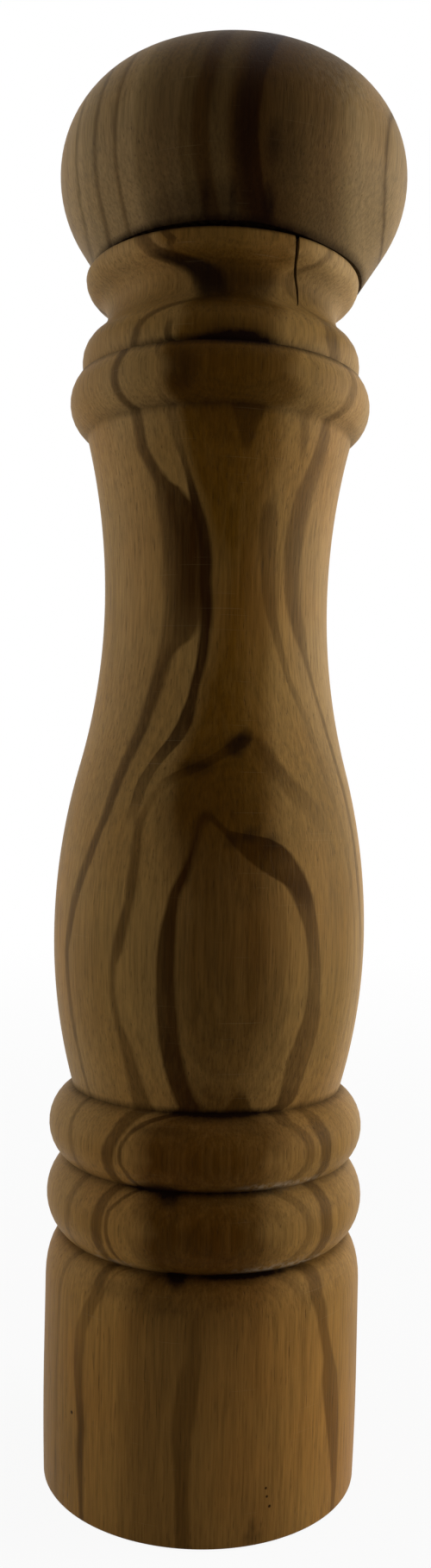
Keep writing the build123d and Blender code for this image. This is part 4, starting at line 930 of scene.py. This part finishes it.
def sheet_figure(tree):
    """Colour by sheets. The wood goes from pale at the back to tan in front. A
    band mixes to its dark where the distance is below half its thickness, more
    towards its near face; a field mixes to its colour in front of its face. Both
    go by their strength."""
    place = node(tree, "TexCoord").outputs["Object"]
    wander = wandering(tree, place)
    streak = node(tree, "MapRange", Value=noise(tree, place, (950, 950, 26), 3.0, 0.65),
                  From_Min=0.3, From_Max=0.6, To_Min=0.84, To_Max=1.0).outputs[0]
    colour = blend(tree, read_number(tree, "sap"), (*TAN, 1), (*PALE, 1))
    for name, dark, soft, drift, lean in BODY_FIGURE:
        read = node(tree, "Attribute", {"attribute_name": name}).outputs["Vector"]
        read = node(tree, "SeparateXYZ", Vector=read).outputs
        distance = maths(tree, "MULTIPLY_ADD", wander, drift, read["X"])
        if name in FIELDS:
            share = between(tree, distance, -soft, soft)
        else:
            spare = maths(tree, "SUBTRACT", read["Y"], maths(tree, "ABSOLUTE", distance))
            share = between(tree, spare, -soft, soft)
            nearer = maths(tree, "MULTIPLY_ADD", distance, lean, 1.0)
            share = maths(tree, "MULTIPLY", share, nearer, clamp=True)
        share = maths(tree, "MULTIPLY", share, maths(tree, "MULTIPLY", read["Z"], streak))
        colour = blend(tree, share, colour, (*dark, 1))
    upward = node(tree, "SeparateXYZ", Vector=place).outputs["Z"]
    low = maths(tree, "MULTIPLY", between(tree, upward, *RUDDY_RISE), RUDDY)
    colour = blend(tree, low, colour, RUDDY_TINT, "MULTIPLY")
    for x, z, wide in PINHOLES:
        gap = node(tree, "VectorMath", {"operation": "DISTANCE"})
        plug(tree, gap.inputs[0], place)
        forward = np.sqrt(np.interp(z, outside[:, 1], outside[:, 0]) ** 2 - x**2)
        plug(tree, gap.inputs[1], (x * MM, -forward * MM, z * MM))
        hole = between(tree, gap.outputs["Value"], wide * MM, 0.5 * wide * MM)
        colour = blend(tree, hole, colour, (*DEEP, 1))
    return colour


def wood(name, draw_figure):
    """Oiled wood: a function draws the figure, the shared group does the rest."""
    material, tree = new_material(name)
    detail = node(tree, "Group", {"node_tree": wood_group}, Figure=draw_figure(tree),
                  Depth=read_number(tree, "depth"), Grime=read_number(tree, "grime"),
                  Residue=read_number(tree, "residue"), Raw=read_number(tree, "raw")).outputs
    bump = node(tree, "Bump", Height=detail["Height"], Strength=0.35, Distance=0.0002)
    surface = node(tree, "BsdfPrincipled", Base_Color=detail["Color"],
                   Roughness=detail["Roughness"], Normal=bump.outputs[0],
                   Specular_IOR_Level=0.03, Specular_Tint=(1, 0.78, 0.5, 1))
    output(tree, surface.outputs[0])
    return material


body_wood = wood("oiled_body_wood", sheet_figure)
print("material:", body_wood.name, len(body_wood.node_tree.nodes), "nodes")

# %% [markdown]
# # The body
# With its points, its material and its sheet numbers ready, the body is one
# call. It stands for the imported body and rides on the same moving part.

# %% Body
body = skin("turned_body", np.stack([body_x, body_y, body_z], -1), body_wood)
paint(body, depth=body_depth.ravel(), grime=np.clip(grime, 0, MOST_GRIME).ravel(),
      residue=residue.ravel(), raw=raw.ravel(), sap=sap.ravel(), **body_bands, **body_fields)
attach(body, "mill_body")
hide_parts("body")

# %% [markdown]
# # The ball head
# The head is a ball a little out of true with its own tenon, as if turned on a
# second centre, and stands about two millimetres to the right. Its outline is
# three arcs, a flat crown, a rounder side and the turn below its widest place, over
# a straight underside. At the right the underside runs on down its own slope until
# it almost meets the lip. A short neck sits in the lip, and a tenon goes down the
# chamber.

# %% Outline of the head
HEAD_R, HEAD_Z, HEAD_TOP = 33.25, 246.5, 268.1
CROWN_R, CROWN_H = 60.0, HEAD_TOP - HEAD_Z
UNDER_R, UNDER_SLOPE = 21.3, np.radians(33)
BALL_EDGE_Z = 228.8
SOCKET_BORE_R, SOCKET_TOP = 8.98, 231.9
TENON_R, TENON_FOOT, TENON_EDGE = 13.7, 210.2, 0.8
NECK_R, NECK_FOOT = 23.2, 228.2

side_r = (2 * CROWN_R * CROWN_H - HEAD_R**2 - CROWN_H**2) / (2 * (CROWN_R - HEAD_R))
side_x = HEAD_R - side_r
meet = np.arctan2(CROWN_R - CROWN_H, side_x)
crown_edge = (side_x + side_r * np.cos(meet), HEAD_Z + side_r * np.sin(meet))
half = (np.pi / 2 - meet) / 2
crown_middle = (CROWN_R * np.sin(half), HEAD_TOP - CROWN_R * (1 - np.cos(half)))
side_middle = (side_x + side_r * np.cos(meet / 2), HEAD_Z + side_r * np.sin(meet / 2))
under = (HEAD_R - UNDER_R * (1 - np.cos(UNDER_SLOPE)), HEAD_Z - UNDER_R * np.sin(UNDER_SLOPE))
under_middle = (HEAD_R - UNDER_R * (1 - np.cos(UNDER_SLOPE / 2)),
                HEAD_Z - UNDER_R * np.sin(UNDER_SLOPE / 2))
edge = (under[0] - (under[1] - BALL_EDGE_Z) * np.tan(UNDER_SLOPE), BALL_EDGE_Z)
corners = [(0.0, SOCKET_TOP), (SOCKET_BORE_R, SOCKET_TOP), (SOCKET_BORE_R, TENON_FOOT),
           (TENON_R - TENON_EDGE, TENON_FOOT), (TENON_R, TENON_FOOT + TENON_EDGE),
           (TENON_R, NECK_FOOT), (NECK_R, NECK_FOOT), (NECK_R, BALL_EDGE_Z)]
stem = joined(*map(run, corners, corners[1:], [3.0, 4.0, 2.0, 1.0, 3.0, 2.5, 0.7]))
ball = joined(
    run(edge, under, ROW_STEP),
    arc(under, under_middle, (HEAD_R, HEAD_Z)),
    arc((HEAD_R, HEAD_Z), side_middle, crown_edge),
    arc(crown_edge, crown_middle, (0.0, HEAD_TOP)),
)
head_line = np.vstack([stem, ball])
print("head outline:", len(head_line), "points; edge radius", round(float(edge[0]), 2))

# %% Grid of the head
HEAD_COLUMNS = 300
BALL_SHIFT = 1.75
# How far the underside runs on, the height where that starts, the x between which
# it sets in, and the gap that it leaves over the lip.
BALL_SLIDE, SLIDE_TOP, SLIDE_X, LIP_GAP = 1.5, 240.0, (2.0, 22.0), 0.12

line_r, line_z = head_line[:, :1], head_line[:, 1:]
is_ball = (np.arange(len(head_line)) >= len(stem))[:, None]
shift = BALL_SHIFT * is_ball
head_angle = np.linspace(0, 2 * np.pi, HEAD_COLUMNS, endpoint=False)[None, :]
at_right = smooth(part_way(line_r * np.sin(head_angle) + shift, *SLIDE_X))
low_down = part_way(line_z, SLIDE_TOP, BALL_EDGE_Z) ** 2
slide = BALL_SLIDE * low_down * at_right * is_ball
head_r = line_r - slide * np.sin(UNDER_SLOPE)
head_x = head_r * np.sin(head_angle) + shift
head_y = -head_r * np.cos(head_angle)
head_z = line_z - slide * np.cos(UNDER_SLOPE)
lip_round = LIP_TOP[1] - LIP[1]
past_flat = np.clip(np.hypot(head_x, head_y) - LIP_TOP[0], 0, lip_round)
lip_z = LIP[1] + np.sqrt(lip_round**2 - past_flat**2)
head_z = np.where(is_ball, np.maximum(head_z, lip_z + LIP_GAP), head_z)
print("underside runs on by up to", round(float(slide.max()), 2), "mm")

# %% [markdown]
# # Figure of the head
# The head was sawn the other way: its sheets stand on edge to the viewer, so
# they show as upright stripes that bow slightly, dark in the middle and pale
# towards the sides. One ramp across the ball holds them all.

# %% Head figure
# How much the stripes bow and round which height, how far they wave towards front
# and back, and half the width that the ramp covers.
HEAD_BOW, BOW_Z, HEAD_WAVE, HEAD_HALF = 0.0135, 243.0, 0.35, 36.0
BUFF = (0.296, 0.195, 0.09)
FAWN = (0.245, 0.16, 0.07)
UMBER = (0.165, 0.105, 0.042)
BROWN = (0.112, 0.066, 0.024)
SEPIA = (0.08, 0.045, 0.014)
DUSK = (0.048, 0.022, 0.005)
NIGHT = (0.018, 0.006, 0.001)
# Stripes from left to right: x, colour.
HEAD_STRIPES = [
    (-36.0, BUFF), (-27.6, BUFF), (-27.0, UMBER), (-26.5, BUFF), (-23.9, FAWN), (-23.2, BROWN),
    (-22.7, FAWN), (-20.3, FAWN), (-19.5, BROWN), (-19.0, FAWN), (-16.8, FAWN), (-15.6, UMBER),
    (-11.8, BROWN), (-8.6, BROWN), (-7.9, SEPIA), (-6.4, SEPIA), (-5.4, DUSK), (-3.2, DUSK),
    (-2.4, SEPIA), (-0.6, SEPIA), (0.8, DUSK), (2.6, NIGHT), (5.3, NIGHT), (5.8, DUSK),
    (11.4, SEPIA), (17.3, BROWN), (20.0, UMBER), (22.5, FAWN), (27.9, FAWN), (28.7, BROWN),
    (29.3, FAWN), (32.0, BUFF)]

head_depth = head_x - HEAD_BOW * (head_z - BOW_Z) ** 2
head_depth += HEAD_WAVE * np.sin(head_y / 7 + head_z / 9) * (head_y / 30) ** 2


def across_ramp(x):
    """Place on the ramp, from 0 to 1, of a place across the head."""
    return (x + HEAD_HALF) / (2 * HEAD_HALF)


def head_figure(tree):
    """Upright stripes: one ramp across the ball, its place nudged by noise."""
    place = node(tree, "TexCoord").outputs["Object"]
    nudged = maths(tree, "MULTIPLY_ADD", wandering(tree, place), 1 / (2 * HEAD_HALF),
                   read_number(tree, "layer"))
    return ramp(tree, nudged, [(across_ramp(x), colour) for x, colour in HEAD_STRIPES])


head_wood = wood("oiled_head_wood", head_figure)
print("material:", head_wood.name, len(HEAD_STRIPES), "stops of stripes")

# %% Head
head = skin("ball_head", np.stack([head_x, head_y, head_z], -1), head_wood, poles=True)


def on_poles(values):
    """One number for each point of a piece whose end rows are single points."""
    return np.r_[values[0, :1], values[1:-1].ravel(), values[-1, :1]]


# Spots: x, height, half width, half height, strength. The crown sheen is a painted
# sheen: a pale film on the upper right of the ball where light falls on it, carried
# in the residue channel.
HEAD_SOIL = [(3.2, 242, 2.4, 8.5, 0.6), (8.0, 239.5, 1.3, 3.2, 0.45), (-3.2, 232.5, 0.8, 3.5, 0.4),
             (1.4, 231.5, 0.6, 3.0, 0.4), (7.7, 231.3, 1.2, 3.2, 0.6), (-2.5, 249, 1.6, 6, 0.25),
             # The wide spot low at the front makes the ball darker towards its bottom edge; the
             # others are dark streaks in the wood.
             (-2, 230, 13, 4, 0.45), (10.5, 238.5, 3.2, 5.5, 0.25)]
BLOOM = [(10, 264, 10, 5, 0.07), (22, 256, 8, 9, 0.1), (-8, 262, 9, 5, 0.05)]
BLOOM_BACK = 8.0
# Painted shadow in the gap over the lip: the heights between which it sets in, the
# radius outside which it lies, and its strength by x.
GAP_Z, GAP_R, GAP_DARK = (229.3, 228.9), 22.0, ([6, 18], [1.4, 0.8])

head_grime = spots(head_x, head_z, HEAD_SOIL) * (head_y < 0) * is_ball
in_gap = part_way(line_z, *GAP_Z) * (line_r > GAP_R)
head_grime += np.interp(head_x, *GAP_DARK) * in_gap
head_bloom = spots(head_x, head_z, BLOOM) * (head_y < BLOOM_BACK)
head_raw = np.where(is_ball, 0.0, np.ones_like(head_x))
paint(head, layer=on_poles(across_ramp(head_depth)), depth=on_poles(head_depth),
      grime=on_poles(np.clip(head_grime, 0, 1)), residue=on_poles(head_bloom),
      raw=on_poles(head_raw))
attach(head, "head")
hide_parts("head_knob")

# %% [markdown]
# # Dust and mould texture, shared by the grinder's parts
# The hidden parts are moulded plastic, sintered ceramic and metal. All of them
# catch pepper dust, so dust is one group: fine specks, tan and dark, thicker
# where a larger cloud of noise is high. Their fine grain is another: noise of a
# chosen size, drawn out along the axis for drawn wire and bar, that varies the
# roughness and gives a height for the bump.

# %% Group: pepper dust
DARK_SPECK, TAN_SPECK = (0.025, 0.018, 0.012), (0.22, 0.16, 0.09)

dust_group, takes, gives = new_group(
    "pepper_dust", {"Clean": "Color", "Amount": "Float"},
    {"Color": "Color", "Mask": "Float"})
tree = dust_group
place = node(tree, "TexCoord").outputs["Object"]
drift = between(tree, noise(tree, place, (160, 160, 160), 2.0), 0.4, 0.7)
speck = between(tree, noise(tree, place, (3800, 3800, 3800), 1.0), 0.56, 0.62)
mask = maths(tree, "MULTIPLY", maths(tree, "MULTIPLY", speck, drift),
             takes["Amount"], clamp=True)
kind = noise(tree, place, (2100, 2100, 2100), 1.0)
grains = ramp(tree, kind, [(0.42, DARK_SPECK), (0.55, TAN_SPECK)])
plug(tree, gives["Color"], blend(tree, mask, takes["Clean"], grains))
plug(tree, gives["Mask"], mask)
print("group:", dust_group.name, len(dust_group.nodes), "nodes")

# %% Group: fine grain
grain_group, takes, gives = new_group(
    "fine_grain", {"Size": "Float", "Stretch": "Float", "Rough": "Float", "Spread": "Float"},
    {"Roughness": "Float", "Height": "Float"})
tree = grain_group
place = node(tree, "TexCoord").outputs["Object"]
spread = node(tree, "VectorMath", {"operation": "MULTIPLY"})
plug(tree, spread.inputs[0], place)
wide = node(tree, "CombineXYZ", X=takes["Size"], Y=takes["Size"],
            Z=maths(tree, "MULTIPLY", takes["Size"], takes["Stretch"]))
plug(tree, spread.inputs[1], wide.outputs[0])
fine = node(tree, "TexNoise", Vector=spread.outputs[0], Scale=1.0, Detail=2.0).outputs[0]
wander = maths(tree, "MULTIPLY", maths(tree, "SUBTRACT", fine, 0.5),
               takes["Spread"])
plug(tree, gives["Roughness"], maths(tree, "ADD", takes["Rough"], wander))
plug(tree, gives["Height"], fine)
print("group:", grain_group.name, len(grain_group.nodes), "nodes")

# %% [markdown]
# # Finishes of the grinder
# Black moulded plastic for the housing, a dark knob, natural plastic for the
# spindle and socket, unglazed ceramic burrs, drawn steel and aluminium. Each
# finish is the same small graph with its own values.

# %% Finishes of the grinder
TINT, GRAIN_SPREAD, DUST_ROUGH = 0.15, 0.3, 0.4


def finish(name, colour, rough, size, stretch, bump, dust, metal=0.0):
    """Plain finish: colour varied by soft noise, dust over it, grain in the
    roughness and the bump."""
    material, tree = new_material(name)
    place = node(tree, "TexCoord").outputs["Object"]
    soft = noise(tree, place, (300, 300, 300), 2.0)
    clean = blend(tree, 1.0, (*colour, 1),
                  ramp(tree, soft, [(0.3, 1.0 - TINT), (0.7, 1.0 + TINT)]), "MULTIPLY")
    dusty = node(tree, "Group", {"node_tree": dust_group}, Clean=clean, Amount=dust).outputs
    grain = node(tree, "Group", {"node_tree": grain_group}, Size=size, Stretch=stretch,
                 Rough=rough, Spread=GRAIN_SPREAD).outputs
    lift = maths(tree, "ADD", grain["Height"], dusty["Mask"])
    relief = node(tree, "Bump", Height=lift, Strength=bump, Distance=0.0001)
    dull = maths(tree, "MULTIPLY_ADD", dusty["Mask"], DUST_ROUGH, grain["Roughness"])
    surface = node(tree, "BsdfPrincipled", Base_Color=dusty["Color"], Roughness=dull,
                   Metallic=metal, Normal=relief.outputs[0])
    output(tree, surface.outputs[0])
    return material


# For each material slot: colour, roughness, grains to a metre and their stretch along
# the axis, bump, dust, and 1 for metal.
FINISHES = {
    "housing_plastic": finish("black_moulded", (0.03, 0.029, 0.028), 0.5, 3000, 1, 0.4, 0.7),
    "knob_plastic": finish("dark_moulded", (0.055, 0.053, 0.05), 0.42, 2600, 1, 0.3, 0.35),
    "socket_plastic": finish("natural_socket", (0.62, 0.6, 0.54), 0.45, 2200, 1, 0.2, 0.3),
    "spindle_plastic": finish("natural_spindle", (0.62, 0.6, 0.55), 0.45, 2200, 1, 0.2, 0.8),
    "burr_ceramic": finish("unglazed_ceramic", (0.8, 0.77, 0.7), 0.55, 5200, 1, 0.35, 0.8),
    "spring_steel": finish("drawn_wire", (0.5, 0.49, 0.47), 0.3, 4000, 0.1, 0.15, 0.3, 1.0),
    "fastener_steel": finish("zinc_plate", (0.62, 0.61, 0.58), 0.32, 4200, 1, 0.15, 0.2, 1.0),
    "shaft_aluminium": finish("drawn_bar", (0.75, 0.75, 0.76), 0.34, 5000, 0.02, 0.2, 0.3, 1.0),
}
for part in frame["record"]["subparts"]:
    if part["material_slot"] in FINISHES:
        shown = frame["nodes"][part["node"]]
        shown.material_slots[0].material = FINISHES[part["material_slot"]]
print("finishes:", sorted(FINISHES))

# %% [markdown]
# # The spring
# A compression spring holds the inner burr down on its knob, and shortens when
# the knob draws the burr up. One rigid coil would cut into its seat. Here the coil
# is wound as a round wire along a helix, to the size of the imported coil, and
# stands in for it as one rigid piece.

# %% Spring
SPRING_TURNS, SPRING_WIRE = 5, 0.9
WIRE_STEPS, WIRE_SIDES = 36, 12


def wound_wire(radius, foot, rise):
    """Round wire along a helix. Its middle is (radius cos t, radius sin t, foot +
    climb t); round it the points go out from the axis by cos and square to that
    and to the wire by sin. The end rows shrink to the middle of the cut."""
    t = np.linspace(0, 2 * np.pi * SPRING_TURNS, SPRING_TURNS * WIRE_STEPS + 1)
    thick = np.r_[0, np.full(len(t), SPRING_WIRE / 2), 0][:, None]
    t = np.r_[t[0], t, t[-1]][:, None]
    climb = rise / t[-1]
    slope = np.hypot(radius, climb)
    side = np.linspace(0, 2 * np.pi, WIRE_SIDES, endpoint=False)[None, :]
    out, down = radius + thick * np.cos(side), thick * np.sin(side)
    return np.stack([out * np.cos(t) - down * climb / slope * np.sin(t),
                     out * np.sin(t) + down * climb / slope * np.cos(t),
                     foot + climb * t - down * radius / slope], -1)


low, high = (np.array(corner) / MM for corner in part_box("burr_spring"))
coil_r = (high[0] - low[0] - SPRING_WIRE) / 2
wire = wound_wire(coil_r, low[2] + SPRING_WIRE / 2, high[2] - low[2] - SPRING_WIRE)
spring = skin("wound_spring", wire, FINISHES["spring_steel"], poles=True)
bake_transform(spring)
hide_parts("burr_spring")
